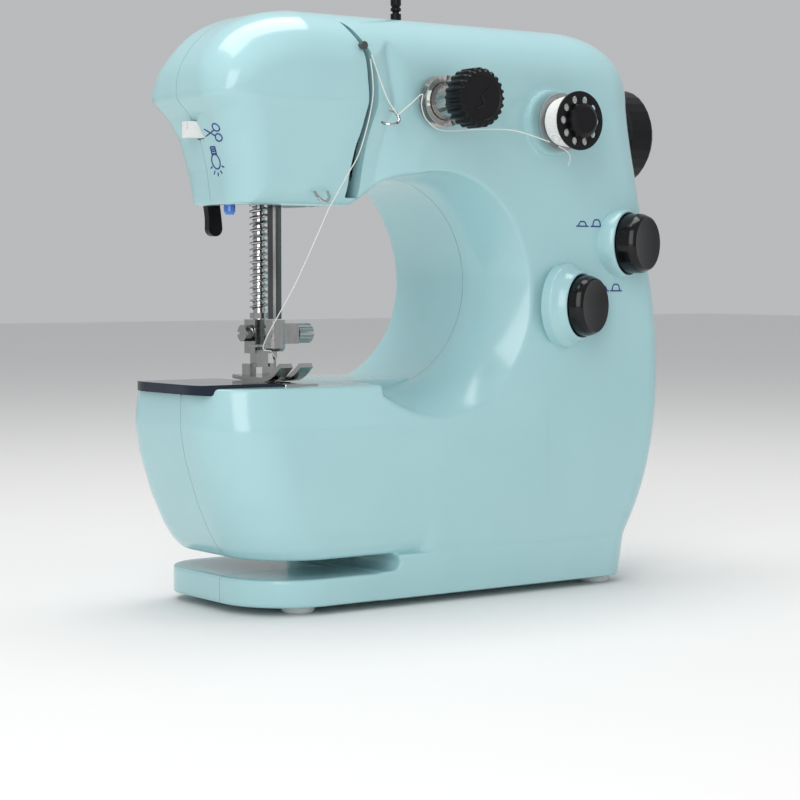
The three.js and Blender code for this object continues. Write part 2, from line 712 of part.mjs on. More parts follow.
const CLAMP_SCREW = { y: NEEDLE.y, z: 91 };
addPart("needle_clamp_screw", knurledSide(NEEDLE.x + 8.3, NEEDLE.x + 14, 3.4, 0.35, 16, CLAMP_SCREW), CHROME);
addPart(
  "needle",
  turnedUp([[0, 60], [0.4, 62.5], [0.4, 82], [0.8, 83], [0.8, 93], [0, 93]], NEEDLE, 10),
  CHROME,
);
addPart(
  "bar_guide",
  box(15, 29, -5.5, 15, 138, 143)
    .subtract(bar("z", 130, 150, BAR_R + GAP, [NEEDLE.x, NEEDLE.y], 20))
    .subtract(bar("z", 130, 150, PRESSER_R + GAP, [PRESSER.x, PRESSER.y], 20)),
  STEEL,
);

/** The presser bar with its collar below the spring and its lifting bracket in the head. */
function presserBar() {
  return bar("z", 92, 166, PRESSER_R, [PRESSER.x, PRESSER.y], 16)
    .add(bar("z", 96, 98, 3.2, [PRESSER.x, PRESSER.y], 20))
    .add(box(6, PRESSER.x, PRESSER.y - 1.4, PRESSER.y + 2, 145, 148));
}

addPart("presser_bar", presserBar(), CHROME);
addPart(
  "presser_spring",
  turnedUp([[2.3, 98.3], [3.35, 98.3], [3.35, 137.7], [2.3, 137.7], [2.3, 98.3]], PRESSER, 16),
  CHROME,
);
addPart(
  "presser_foot_holder",
  box(PRESSER.x - 3.8, PRESSER.x + 3.8, PRESSER.y - 3.5, PRESSER.y + 3.5, 84, 95.7)
    .add(box(PRESSER.x - 2.4, PRESSER.x + 2.4, PRESSER.y - 2, PRESSER.y + 2, 79.3, 85))
    .subtract(bar("z", 91.7, 100, PRESSER_R + GAP, [PRESSER.x, PRESSER.y], 20)),
  CHROME,
);
addPart(
  "presser_foot_screw",
  bar("x", PRESSER.x - 7, PRESSER.x - 4.1, 2.9, [PRESSER.y, 91], 20).subtract(
    box(PRESSER.x - 8, PRESSER.x - 6.2, PRESSER.y - 3, PRESSER.y + 3, 90.6, 91.4),
  ),
  CHROME,
);

/** The foot: a sole with a slot for the needle, two upturned toes, a raised heel and two lugs. */
function presserFoot() {
  const sole = { left: 15.4, right: 28.6, bottom: 74.8, top: 76.2, heel: 17 };
  const side = new THREE.Shape();
  side.moveTo(sole.heel, sole.bottom + HEEL_LIFT);
  side.lineTo(sole.heel, sole.top + HEEL_LIFT);
  side.lineTo(PRESSER.y, sole.top);
  side.lineTo(-3, sole.top);
  side.quadraticCurveTo(-7, sole.top + 0.6, -12.8, sole.top + 5);
  side.lineTo(-13.6, sole.bottom + 5);
  side.quadraticCurveTo(-7.6, sole.bottom, -3, sole.bottom);
  side.lineTo(PRESSER.y, sole.bottom);
  const geometry = new THREE.ExtrudeGeometry(side, {
    depth: sole.right - sole.left,
    bevelEnabled: false,
    curveSegments: 5,
  });
  geometry.rotateX(Math.PI / 2).rotateZ(Math.PI / 2).translate(sole.left, 0, 0);
  return solid(geometry)
    .subtract(box(NEEDLE.x - 1.5, NEEDLE.x + 1.5, -20, 3, 70, 85))
    .add(box(PRESSER.x - 5.4, PRESSER.x - 2.8, 7.5, 12.5, 75.5, 80.5))
    .add(box(PRESSER.x + 2.8, PRESSER.x + 5.4, 7.5, 12.5, 75.5, 80.5));
}

addPart("presser_foot", presserFoot(), CHROME);

/** The lifter behind the head: a drop-shaped handle on a hub that carries the lifting cam. */
function presserLifter() {
  const { x, z } = LIFTER;
  const [handleX, neck, bulb, low] = [x + 2.4, 2.2, 2.7, z - 12.9];
  const drop = new THREE.Shape();
  drop.moveTo(x - 3, z + 1);
  drop.absarc(x, z + 1, 3, Math.PI, 0, true);
  drop.quadraticCurveTo(handleX + neck, z - 6, handleX + bulb, low);
  drop.absarc(handleX, low, bulb, 0, Math.PI, true);
  drop.quadraticCurveTo(handleX - neck, z - 6, x - 3, z + 1);
  const handle = prismY(drop, 23.6, 26.6);
  const hub = bar("y", 8.8, 24, 2.9, [x, z], 20);
  const cam = bar("y", 8.8, 12.2, 2, [x - 7, z], 16).add(box(x - 7, x, 8.8, 12.2, z - 2, z + 2));
  return handle.add(hub).add(cam);
}

addPart("presser_lifter", presserLifter(), BLACK);

// ---------------------------------------------------------------- head fittings
const cutterSlot = box(-15, -7.6, -1.6, -0.8, 159, 164);
addPart(
  "thread_cutter",
  box(-12.8, -6.4, -3, 2, 156.3, 161.7).subtract(cutterSlot),
  WHITE,
);
const lampProfile = [[0, 131], [1.4, 131.3], [2, 132.4], [2, 137], [0, 137]];
addPart("lamp", turnedUp(lampProfile, { x: 5.4, y: 2 }, 16), BLUE);
addPart(
  "arm_thread_guide",
  wire(
    [
      [46.8, FRONT_Y - 0.4, 162.2],
      [47, FRONT_Y - 2.4, 161.6],
      [49.6, FRONT_Y - 3.8, 161.6],
      [52, FRONT_Y - 3.2, 163],
      [51.2, FRONT_Y - 2.4, 165.6],
      [49.8, FRONT_Y - 0.4, 166.4],
    ],
    0.5,
  ),
  CHROME,
);
addPart(
  "head_thread_guide",
  wire(
    [
      [24.4, -21, 138.8],
      [24.8, -22.8, 136.8],
      [27, -23.4, 135.4],
      [29.2, -22.8, 136.8],
      [29.6, -21, 138.9],
    ],
    0.5,
  ),
  CHROME,
);

/** The take-up lever: a flat arm behind the slot and a finger with an eye in front of it. */
function takeUpLever() {
  const { x, y, z, reach } = TAKE_UP;
  const arm = box(x, x + reach, y, y + 1.6, z - 2.2, z + 2.2)
    .add(bar("y", y, y + 1.6, 4.5, [x, z]))
    .subtract(bar("y", y - 2, y + 4, 1.6 + GAP, [x, z], 16));
  const finger = bar("y", FRONT_Y - 0.4, y + 1, 0.9, [x + reach, z], 12);
  const eye = bar("y", FRONT_Y - 1.2, FRONT_Y + 0.2, 1.35, [x + reach, z], 16).subtract(
    bar("z", z - 5, z + 5, 0.3, [x + reach, FRONT_Y - 0.5], 8),
  );
  const lever = arm.add(finger).add(eye);
  const raised = THREE.MathUtils.degToRad(28);
  const geometry = geometryOf(lever).translate(-x, 0, -z).rotateY(-raised).translate(x, 0, z);
  return geometry;
}

addPart("take_up_lever", takeUpLever(), DARK_STEEL);
addPart(
  "take_up_pin",
  turnedFront([[0, -24], [2.6, -24], [2.6, -21], [1.6, -21], [1.6, -10], [0, -10]], TAKE_UP, 16),
  STEEL,
);

// ---------------------------------------------------------------- drive
const CRANK = { from: 28.4, to: 31 };
const UPPER_PULLEY = { from: 148, to: 154, r: 20 };
const MOTOR_PULLEY_R = 5;
const TIMING = { from: 158, to: 163, r: 8 };
const UPPER_BUSHES = [44, 136];

/** The main shaft in one piece with its crank disc and its two belt wheels. */
function mainShaft() {
  const at = [SHAFT.y, SHAFT.z];
  return bar("x", CRANK.from, 180, SHAFT.r, at, 16)
    .add(bar("x", CRANK.from, CRANK.to, 13.4, at))
    .add(bar("x", CRANK.from - 0.6, CRANK.to, 1.5, [SHAFT.y, SHAFT.z - CRANK_RADIUS], 12))
    .add(bar("x", UPPER_PULLEY.from, UPPER_PULLEY.to, UPPER_PULLEY.r, at, 28))
    .add(bar("x", UPPER_PULLEY.to - 1, TIMING.to, TIMING.r, at));
}

addPart("main_shaft", mainShaft(), STEEL);
const lowerGear = [[2, 14.2], [7.6, 14.2], [9.4, 15.6], [9.4, 19], [2, 19], [2, 14.2]];
addPart(
  "lower_shaft",
  bar("x", 13, 166, LOWER_SHAFT.r, [LOWER_SHAFT.y, LOWER_SHAFT.z], 16)
    .add(turnedSide(lowerGear, LOWER_SHAFT, 20))
    .add(bar("x", TIMING.from, TIMING.to, TIMING.r, [LOWER_SHAFT.y, LOWER_SHAFT.z], 24)),
  STEEL,
);
addPart(
  "motor",
  turnedSide(
    [[0, 104], [5, 104], [5, 106], [MOTOR.r, 106], [MOTOR.r, 142], [5, 142], [5, 144], [0, 144]],
    MOTOR,
    24,
  ),
  STEEL,
);
addPart("motor_pulley", bar("x", 144.3, 154, MOTOR_PULLEY_R, [MOTOR.y, MOTOR.z], 24), BRASS);

/** A belt round two wheels that stand above each other, as a closed band. */
function belt(from, to, upper, upperR, lower, lowerR) {
  const thickness = 1.2;
  const outline = (extra) => {
    const span = upper.z - lower.z;
    const lean = Math.asin((upperR - lowerR) / span);
    const shape = new THREE.Shape();
    shape.absarc(0, span, upperR + extra, -lean, Math.PI + lean, false);
    shape.absarc(0, 0, lowerR + extra, Math.PI + lean, 2 * Math.PI - lean, false);
    return shape;
  };
  const band = outline(GAP + thickness);
  band.holes.push(outline(GAP));
  const settings = { depth: to - from, bevelEnabled: false, curveSegments: 8 };
  const geometry = new THREE.ExtrudeGeometry(band, settings);
  geometry.rotateX(Math.PI / 2).rotateZ(Math.PI / 2).translate(from, lower.y, lower.z);
  return solid(geometry);
}

addPart("motor_belt", belt(149, 153, SHAFT, UPPER_PULLEY.r, MOTOR, MOTOR_PULLEY_R), BLACK);
addPart("timing_belt", belt(159, 162, SHAFT, TIMING.r, LOWER_SHAFT, TIMING.r), BLACK);

/** A bearing block for a shaft along X, reaching back to the rear shell. */
function bearing(x, shaft, back) {
  return box(x, x + 6, shaft.y - 7, back, shaft.z - 7, shaft.z + 7).subtract(
    bar("x", x - 1, x + 7, shaft.r + GAP, [shaft.y, shaft.z], 20),
  );
}

UPPER_BUSHES.forEach((x, i) => addPart(`upper_bearing_${i + 1}`, bearing(x, SHAFT, i ? 39 : 22), BRASS));
addPart("lower_bearing", bearing(136, LOWER_SHAFT, 39), BRASS);

addPart(
  "handwheel",
  turnedSide(
    [
      [SHAFT.r + GAP, 172.6],
      [6, 172.6],
      [6, HANDWHEEL.inner],
      [16.6, HANDWHEEL.inner],
      [HANDWHEEL.r, HANDWHEEL.inner + 1.6],
      [HANDWHEEL.r, HANDWHEEL.outer - 3],
      [16, HANDWHEEL.outer - 0.8],
      [12, HANDWHEEL.outer],
      [0, HANDWHEEL.outer],
      [0, 180.3],
      [SHAFT.r + GAP, 180.3],
      [SHAFT.r + GAP, 172.6],
    ],
    SHAFT,
    30,
  ),
  BLACK,
);

// ---------------------------------------------------------------- thread tension
addPart(
  "tension_post",
  turnedFront([[0, -54], [1.5, -54], [1.5, -25.2], [4, -25.2], [4, -23.4], [0, -23.4]], TENSION, 16),
  STEEL,
);

/** One of the two dished discs that pinch the thread. */
function tensionDisc(y, bend) {
  const profile = [
    [1.8, y],
    [5.5, y],
    [8.75, y + bend],
    [8.75, y + bend + 0.7],
    [5.5, y + 0.7],
    [1.8, y + 0.7],
    [1.8, y],
  ];
  return turnedFront(profile, TENSION, 22);
}

addPart("tension_disc_rear", tensionDisc(-31.4, 0.8), CHROME);
addPart("tension_disc_front", tensionDisc(-33.6, -1.2), CHROME);
addPart(
  "tension_spring",
  turnedFront(
    [[1.8, -42.6], [4.2, -42.6], [6.4, -34.2], [5.6, -34.2], [3.4, -41.8], [1.8, -41.8], [1.8, -42.6]],
    TENSION,
    24,
  ),
  CHROME,
);

/** The ribbed tension knob with a narrower neck behind it. */
function tensionKnob() {
  const shape = new THREE.Shape();
  const ribs = 24;
  for (let i = 0; i < 2 * ribs; i++) {
    const angle = (Math.PI * i) / ribs;
    const r = i % 2 ? 10 : 9.2;
    shape[i ? "lineTo" : "moveTo"](TENSION.x + r * Math.cos(angle), TENSION.z + r * Math.sin(angle));
  }
  const ribbed = prismY(shape, -54.6, -45.6, 0);
  const neck = frontPin(-46, -43, 7, TENSION, 0, 24);
  return ribbed.add(neck).subtract(frontPin(-54.3, -40, 1.5 + GAP, TENSION, 0, 16));
}

addPart("tension_knob", tensionKnob(), BLACK);

// ---------------------------------------------------------------- bobbin winder
addPart(
  "bobbin_spindle",
  turnedFront([[0, -45], [2.2, -45], [2.2, -25.3], [5, -25.3], [5, -23.4], [0, -23.4]], SPINDLE, 16),
  STEEL,
);

/** The upper bobbin: both flanges are pierced by a ring of ten holes. */
function topBobbin() {
  let bobbin = turnedFront(bobbinProfile(-44.4, -33.4, 2.5), SPINDLE, 26);
  const holes = 10;
  for (let i = 0; i < holes; i++) {
    const angle = (2 * Math.PI * i) / holes;
    const at = [SPINDLE.x + 7.4 * Math.cos(angle), SPINDLE.z + 7.4 * Math.sin(angle)];
    bobbin = bobbin.subtract(bar("y", -46, -30, 1.3, at, 6));
  }
  return bobbin;
}

addPart("top_bobbin", topBobbin(), BLACK);
addPart(
  "top_bobbin_thread",
  turnedFront(
    [[4.5, -43.1], [7.6, -43.1], [8.3, -38.9], [7.6, -34.7], [4.5, -34.7], [4.5, -43.1]],
    SPINDLE,
    20,
  ),
  THREAD,
);
addPart(
  "spindle_cap",
  turnedFront(
    [[0, -47.4], [4.6, -47.4], [6, -46.4], [6, -44.7], [2.5, -44.7], [2.5, -45.3], [0, -45.3]],
    SPINDLE,
    24,
  ),
  BLACK,
);

// ---------------------------------------------------------------- switches and buttons
for (const { name, at } of BUTTONS) {
  const face = [
    [0, BUTTON.front - FRONT_Y],
    [8.6, BUTTON.front - FRONT_Y + 0.3],
    [BUTTON.r - 0.4, BUTTON.front - FRONT_Y + 1.2],
    [BUTTON.r, BUTTON.front - FRONT_Y + 2.4],
    [BUTTON.r, 1],
    [0, 1],
  ];
  const points = face.map(([r, y]) => new THREE.Vector2(r, y));
  const cap = new THREE.LatheGeometry(points, 32);
  addPart(`${name}_button`, onFront(cap, at.x, FRONT_Y, at.z, BUTTON_TILT), BLACK);
  const body = new THREE.BoxGeometry(13, 10, 10).translate(0, 11, 0);
  addPart(`${name}_switch`, onFront(body, at.x, FRONT_Y, at.z, BUTTON_TILT), BLACK);
}

// ---------------------------------------------------------------- spool pin
const socketProfile = [
  [1.5, 196],
  [1.8, 196],
  [1.8, SHELL_TOP + GAP],
  [4.4, SHELL_TOP + GAP],
  [4.2, SHELL_TOP + 1],
  [1.9, SHELL_TOP + 1.5],
  [1.9, SHELL_TOP + 4.1],
  [1.5, SHELL_TOP + 4.1],
  [1.5, 196],
];
const spoolPinProfile = [
  [0, 191],
  [1.2, 191],
  [1.2, 204.2],
  [1.9, 204.6],
  [1.9, 205.4],
  [1.4, 205.9],
  [1.9, 206.6],
  [1.9, 233],
  [1.2, 235],
  [0, 235],
];
addPart("spool_pin_socket", turnedUp(socketProfile, SPOOL_PIN, 20), BLACK);
addPart("spool_pin", turnedUp(spoolPinProfile, SPOOL_PIN, 16), BLACK);

// ---------------------------------------------------------------- back
for (const { name, x, z } of JACKS) {
  const ring = bar("y", REAR_Y - 12, REAR_Y - 0.2, 3.9, [x, z], 20);
  addPart(name, ring.subtract(bar("y", REAR_Y - 9, REAR_Y + 2, 2.4, [x, z], 16)), BLACK);
}

// ---------------------------------------------------------------- sewing thread
const THREAD_R = 0.25;
const THREAD_Y = FRONT_Y - 6; // the thread runs this far forward past the take-up lever's eye

/** From the upper bobbin between the tension discs and through the arm guide to the take-up eye. */
const upperThread = [
  [112.4, -38.6, 158.6],
  [98, -36.4, 160],
  [84, -33.8, 160.6],
  [74, -32.7, 160.2],
  [67, -32.6, 160.6],
  [62, -32.6, 164],
  [60.2, -32.7, 168.4],
  [60.4, -32.8, 172],
  [56, -32.8, 168.8],
  [50.4, -32.6, 164.6],
  [46, -31.6, 172],
  [41.4, -30, 184.6],
];
/** From the take-up lever down the slot to the head guide, the needle clamp's guide and the needle. */
const lowerThread = [
  [41.2, -29.8, 183],
  [42.4, -29.6, 170],
  [39.4, -26.4, 153],
  [34.6, -25.2, 144],
  [30.2, -24.5, 136.6],
  [28.6, -23.6, 133.4],
  [22.5, -13, 109],
  [15.6, -3.4, 88],
  [18.6, -3.2, 85],
  [21.7, -1.6, 81.6],
  [22, -1, 75.4],
];
addPart("thread_upper", wire(upperThread, THREAD_R, 26), THREAD);
addPart("thread_lower", wire(lowerThread, THREAD_R, 26), THREAD);

const bounds = new THREE.Box3().setFromObject(machine);
const middle = bounds.getCenter(new THREE.Vector3());
machine.position.set(-middle.x, -middle.y, -bounds.min.z);

export default machine;
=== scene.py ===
# A small free-arm sewing machine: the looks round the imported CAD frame. Blender 4.5, metres.
# The body's surfaces are worked out in millimetres as smooth distance fields and meshed once.
import json
import math

import bmesh
import bpy
import numpy as np
import openvdb
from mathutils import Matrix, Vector
from mathutils.bvhtree import BVHTree

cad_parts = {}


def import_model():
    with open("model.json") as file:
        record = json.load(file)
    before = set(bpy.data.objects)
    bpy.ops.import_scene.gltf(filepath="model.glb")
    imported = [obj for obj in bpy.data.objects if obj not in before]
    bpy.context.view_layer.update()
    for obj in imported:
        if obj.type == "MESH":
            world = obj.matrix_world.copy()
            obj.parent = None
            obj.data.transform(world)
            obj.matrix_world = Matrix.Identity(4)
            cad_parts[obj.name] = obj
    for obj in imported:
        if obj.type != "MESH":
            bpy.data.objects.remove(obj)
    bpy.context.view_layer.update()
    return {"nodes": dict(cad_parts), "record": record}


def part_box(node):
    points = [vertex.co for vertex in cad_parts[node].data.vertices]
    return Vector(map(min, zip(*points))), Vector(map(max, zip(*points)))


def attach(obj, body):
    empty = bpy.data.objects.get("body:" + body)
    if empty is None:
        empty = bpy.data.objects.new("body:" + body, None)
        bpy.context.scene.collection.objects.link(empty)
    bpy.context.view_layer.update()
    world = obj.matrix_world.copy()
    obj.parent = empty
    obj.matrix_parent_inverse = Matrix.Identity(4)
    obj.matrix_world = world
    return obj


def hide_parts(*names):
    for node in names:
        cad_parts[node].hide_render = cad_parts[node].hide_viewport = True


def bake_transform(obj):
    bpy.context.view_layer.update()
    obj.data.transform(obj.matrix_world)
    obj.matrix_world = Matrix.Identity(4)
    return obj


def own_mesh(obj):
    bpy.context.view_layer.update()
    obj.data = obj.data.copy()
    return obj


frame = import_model()
MM = 0.001

# ---------------------------------------------------------------- the design's own frame
# The design counts in millimetres from the left end of the base (X), the shells' seam (Y) and the
# underside of the base (Z). The needle stands at X 22, Y 0, and the needle plate's top at Z 74.2.
NEEDLE_X, PLATE_TOP = 22.0, 74.2
needle_low, needle_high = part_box("needle")
plate_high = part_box("needle_plate")[1]
SHIFT = Vector(
    (
        (needle_low.x + needle_high.x) / 2 - NEEDLE_X * MM,
        (needle_low.y + needle_high.y) / 2,
        plate_high.z - PLATE_TOP * MM,
    )
)


def world(x, y, z):
    """A point of the design, in millimetres, as a point of the frame, in metres."""
    return SHIFT + Vector((x, y, z)) * MM


def design(point):
    """A point of the frame, in metres, as a point of the design, in millimetres."""
    return (Vector(point) - SHIFT) / MM


def centre(node):
    """The middle of a CAD node's box, in design millimetres."""
    low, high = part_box(node)
    return design((low + high) / 2)


# ---------------------------------------------------------------- material building
def new_material(name):
    """A node material with its Principled shader."""
    material = bpy.data.materials.new(name)
    material.use_nodes = True
    return material, material.node_tree, material.node_tree.nodes["Principled BSDF"]


def add_noise(tree, scale, detail=3.0, stretch=(1, 1, 1)):
    """Noise in object space; stretch squeezes it along an axis."""
    coords = tree.nodes.new("ShaderNodeTexCoord")
    mapping = tree.nodes.new("ShaderNodeMapping")
    mapping.inputs["Scale"].default_value = stretch
    noise = tree.nodes.new("ShaderNodeTexNoise")
    noise.inputs["Scale"].default_value = scale
    noise.inputs["Detail"].default_value = detail
    tree.links.new(coords.outputs["Object"], mapping.inputs["Vector"])
    tree.links.new(mapping.outputs["Vector"], noise.inputs["Vector"])
    return noise


def ramp_from(tree, source, low, high, stops):
    """A colour ramp over part of a noise's range."""
    ramp = tree.nodes.new("ShaderNodeValToRGB")
    ramp.color_ramp.elements[0].position = low
    ramp.color_ramp.elements[1].position = high
    ramp.color_ramp.elements[0].color = (*stops[0], 1)
    ramp.color_ramp.elements[1].color = (*stops[1], 1)
    tree.links.new(source, ramp.inputs["Fac"])
    return ramp.outputs["Color"]


def range_from(tree, source, low, high):
    """A number between low and high that follows a noise."""
    node = tree.nodes.new("ShaderNodeMapRange")
    node.inputs["From Min"].default_value = 0.3
    node.inputs["From Max"].default_value = 0.7
    node.inputs["To Min"].default_value = low
    node.inputs["To Max"].default_value = high
    tree.links.new(source, node.inputs["Value"])
    return node.outputs["Result"]


def add_bump(tree, shader, source, strength, distance):
    """Bumps the shader's normal by a height."""
    bump = tree.nodes.new("ShaderNodeBump")
    bump.inputs["Strength"].default_value = strength
    bump.inputs["Distance"].default_value = distance
    tree.links.new(source, bump.inputs["Height"])
    tree.links.new(bump.outputs["Normal"], shader.inputs["Normal"])


def surface(name, colours, rough, metallic=0.0, grain=900, stretch=(1, 1, 1), bump=0.02, coat=0.0, shine=0.5):
    """A moulded or machined surface: colour and roughness drift a little, and a fine grain bumps it."""
    material, tree, shader = new_material(name)
    drift = add_noise(tree, 35, 4.0)
    fine = add_noise(tree, grain, 2.0, stretch)
    tree.links.new(ramp_from(tree, drift.outputs["Fac"], 0.3, 0.7, colours), shader.inputs["Base Color"])
    tree.links.new(range_from(tree, fine.outputs["Fac"], *rough), shader.inputs["Roughness"])
    shader.inputs["Metallic"].default_value = metallic
    shader.inputs["Specular IOR Level"].default_value = shine
    shader.inputs["Coat Weight"].default_value = coat
    shader.inputs["Coat Roughness"].default_value = 0.08
    add_bump(tree, shader, fine.outputs["Fac"], bump, 0.0002)
    return material


TEAL = surface("teal_gloss", ((0.39, 0.64, 0.67), (0.41, 0.665, 0.69)), (0.17, 0.24), bump=0.012, coat=0.35)
BLACK = surface(
    "black_moulded", ((0.004, 0.004, 0.005), (0.007, 0.007, 0.008)), (0.3, 0.42), bump=0.06, shine=0.22
)
BLACK_GLOSS = surface(
    "black_gloss",
    ((0.003, 0.003, 0.004), (0.005, 0.005, 0.006)),
    (0.12, 0.2),
    bump=0.01,
    coat=0.15,
    shine=0.25,
)
WHITE = surface("white_moulded", ((0.85, 0.85, 0.82), (0.9, 0.9, 0.88)), (0.3, 0.4), bump=0.03)
RUBBER = surface("grey_rubber", ((0.62, 0.65, 0.65), (0.7, 0.72, 0.72)), (0.7, 0.85), bump=0.3)
CHROME = surface(
    "chrome", ((0.42, 0.42, 0.41), (0.58, 0.58, 0.57)), (0.1, 0.22), 1.0, 1400, (1, 1, 0.1), 0.03
)
STEEL = surface(
    "steel", ((0.34, 0.35, 0.36), (0.46, 0.47, 0.48)), (0.28, 0.42), 1.0, 1200, (1, 1, 0.05), 0.08
)
DARK_STEEL = surface(
    "dark_steel", ((0.09, 0.09, 0.09), (0.16, 0.16, 0.16)), (0.14, 0.26), 1.0, 1200, (1, 1, 0.05), 0.05
)
BRASS = surface("sintered_brass", ((0.55, 0.42, 0.2), (0.66, 0.52, 0.28)), (0.35, 0.5), 1.0, 1500, bump=0.15)
PRINT = surface("blue_print", ((0.01, 0.04, 0.2), (0.015, 0.055, 0.26)), (0.35, 0.5), bump=0.02)
BELT = surface("belt_rubber", ((0.015, 0.015, 0.015), (0.03, 0.03, 0.03)), (0.6, 0.8), bump=0.2)


def smoke_material():
    """Smoked clear plastic that lets a little light through."""
    material, tree, shader = new_material("smoked_clear")
    drift = add_noise(tree, 60, 3.0)
    colours = ((0.004, 0.012, 0.03), (0.008, 0.02, 0.045))
    tree.links.new(ramp_from(tree, drift.outputs["Fac"], 0.3, 0.7, colours), shader.inputs["Base Color"])
    tree.links.new(range_from(tree, drift.outputs["Fac"], 0.05, 0.12), shader.inputs["Roughness"])
    shader.inputs["Transmission Weight"].default_value = 0.12
    shader.inputs["IOR"].default_value = 1.49
    return material


def lens_material():
    """The blue lamp lens."""
    material, tree, shader = new_material("blue_lens")
    drift = add_noise(tree, 400, 2.0)
    colours = ((0.03, 0.16, 0.62), (0.06, 0.25, 0.8))
    tree.links.new(ramp_from(tree, drift.outputs["Fac"], 0.3, 0.7, colours), shader.inputs["Base Color"])
    shader.inputs["Roughness"].default_value = 0.15
    shader.inputs["Coat Weight"].default_value = 0.6
    return material


def thread_material():
    """White spun thread: fine darker bands across it are painted shade in the grooves of the twist, and the
    same bands bump it.
    """
    material, tree, shader = new_material("white_thread")
    coords = tree.nodes.new("ShaderNodeTexCoord")
    wave = tree.nodes.new("ShaderNodeTexWave")
    wave.bands_direction = "DIAGONAL"
    wave.inputs["Scale"].default_value = 1500
    wave.inputs["Distortion"].default_value = 2.0
    tree.links.new(coords.outputs["Object"], wave.inputs["Vector"])
    # The darker end of this ramp is painted shade between the twisted strands; the thread itself is white all
    # over.
    colours = ((0.72, 0.72, 0.7), (0.93, 0.93, 0.91))
    tree.links.new(ramp_from(tree, wave.outputs["Fac"], 0.0, 1.0, colours), shader.inputs["Base Color"])
    shader.inputs["Roughness"].default_value = 0.75
    shader.inputs["Sheen Weight"].default_value = 0.4
    add_bump(tree, shader, wave.outputs["Fac"], 0.5, 0.0001)
    return material


SMOKE, LENS, THREAD = smoke_material(), lens_material(), thread_material()

# ---------------------------------------------------------------- distance fields of the body
VOXEL = 0.75
LOW, HIGH = np.array((-20.0, -41.0, -3.0)), np.array((184.0, 47.0, 203.0))
COUNTS = np.ceil((HIGH - LOW) / VOXEL).astype(int)
X, Y, Z = (
    np.float32(LOW[i] + VOXEL * np.arange(COUNTS[i])).reshape([-1 if k == i else 1 for k in range(3)])
    for i in range(3)
)
WALL, SEAM_GAP = 2.4, 0.15
SHELL_TOP, TABLE_Z, HEAD_BOTTOM, HEAD_CREASE = 199.4, 74.0, 134.0, 168.8
FRONT_Y, REAR_Y = -28.0, 42.0
BASE_PLATE, BASE_TOP, SLEEVE_END, ARM_CREASE = 9.8, 16.0, 55.0, 60.0
THROAT = (65.8, 108.4, 37.3)
CORNER_X, CORNER_WIDE, CORNER_TALL, CORNER_POWER = 131, 36, 27, 0.8
FUNNEL = (74.8, 104.0, 43.0)
DISH = (85.5, 109.8, 53.2)
DISH_SLOPE = 8.0
BUTTON_TILT = math.radians(20)


def carve(a, b, r):
    """The part of a inside b, with an outer edge of radius r where they meet."""
    return np.minimum(np.maximum(a, b), -r) + np.hypot(np.maximum(a + r, 0), np.maximum(b + r, 0))


def join(a, b, r):
    """a and b together, with a fillet of radius r where they meet."""
    return -carve(-a, -b, r)


def cut(a, b, r=0.6):
    """a without b, with its new edges rounded to r."""
    return carve(a, -b, r)


def soft_profile(levels, at, blur=2.5):
    """Values given at levels, read along an axis and rounded off over a few millimetres."""
    keys, values = zip(*levels)
    fine = np.arange(keys[0] - 20, keys[-1] + 20, 0.25)
    rough = np.interp(fine, keys, values)
    reach = max(int(blur / 0.25), 1)
    for _ in range(2):
        padded = np.pad(rough, reach, mode="edge")
        rough = np.convolve(padded, np.ones(2 * reach + 1) / (2 * reach + 1), mode="valid")
    return np.interp(at, fine, rough).astype(np.float32)


def smooth_through(points, steps=8):
    """A smooth line through points in X and Z."""
    ends = [points[0]] + list(points) + [points[-1]]
    made = [tuple(points[0])]
    for a, b, c, d in zip(ends, ends[1:], ends[2:], ends[3:]):
        for i in range(1, steps + 1):
            u = i / steps
            made.append(
                tuple(
                    0.5 * (2 * b[k] + (c[k] - a[k]) * u + (2 * a[k] - 5 * b[k] + 4 * c[k] - d[k]) * u**2)
                    + 0.5 * (3 * b[k] - a[k] - 3 * c[k] + d[k]) * u**3
                    for k in (0, 1)
                )
            )
    return made


def rising(low, high, start, end):
    """A field that goes smoothly from low to high as Z goes from start to end."""
    share = np.clip((Z - start) / (end - start), 0, 1)
    return low + (high - low) * share * share * (3 - 2 * share)


def outline_distance(points):
    """Signed distance in X and Z to a closed outline, negative inside, as a flat field."""
    px, pz = X[:, :, 0].reshape(-1, 1), Z[0, :, :].reshape(1, -1)
    nearest = np.full((px.size, pz.size), 1e9, np.float32)
    inside = np.zeros(nearest.shape, bool)
    for (ax, az), (bx, bz) in zip(points, points[1:] + points[:1]):
        ex, ez = bx - ax, bz - az
        length = ex * ex + ez * ez
        if length < 1e-9:
            continue
        t = np.clip(((px - ax) * ex + (pz - az) * ez) / length, 0, 1)
        nearest = np.minimum(nearest, (px - ax - t * ex) ** 2 + (pz - az - t * ez) ** 2)
        if abs(ez) > 1e-9:
            crosses = (pz >= min(az, bz)) & (pz < max(az, bz)) & (px < ax + (pz - az) * ex / ez)
            inside ^= crosses
    signed = np.where(inside, -np.sqrt(nearest), np.sqrt(nearest))
    return signed[:, None, :].astype(np.float32)


def arc(cx, cz, r, start, end, steps=40):
    """Points of an arc in X and Z; angles in degrees."""
    return [
        (cx + r * math.cos(math.radians(a)), cz + r * math.sin(math.radians(a)))
        for a in np.linspace(start, end, steps + 1)
    ]


def curve_points(a, b, c, steps=16):
    """Points of a quadratic curve from a to c with b as its control."""
    made = []
    for i in range(1, steps + 1):
        t = i / steps
        made.append(tuple(a[k] * (1 - t) ** 2 + 2 * b[k] * t * (1 - t) + c[k] * t * t for k in (0, 1)))
    return made


def block(x0, x1, y0, y1, z0, z1):
    """Distance to a sharp box."""
    flat = np.maximum(np.maximum(x0 - X, X - x1), np.maximum(y0 - Y, Y - y1))
    return np.maximum(flat, np.maximum(z0 - Z, Z - z1))


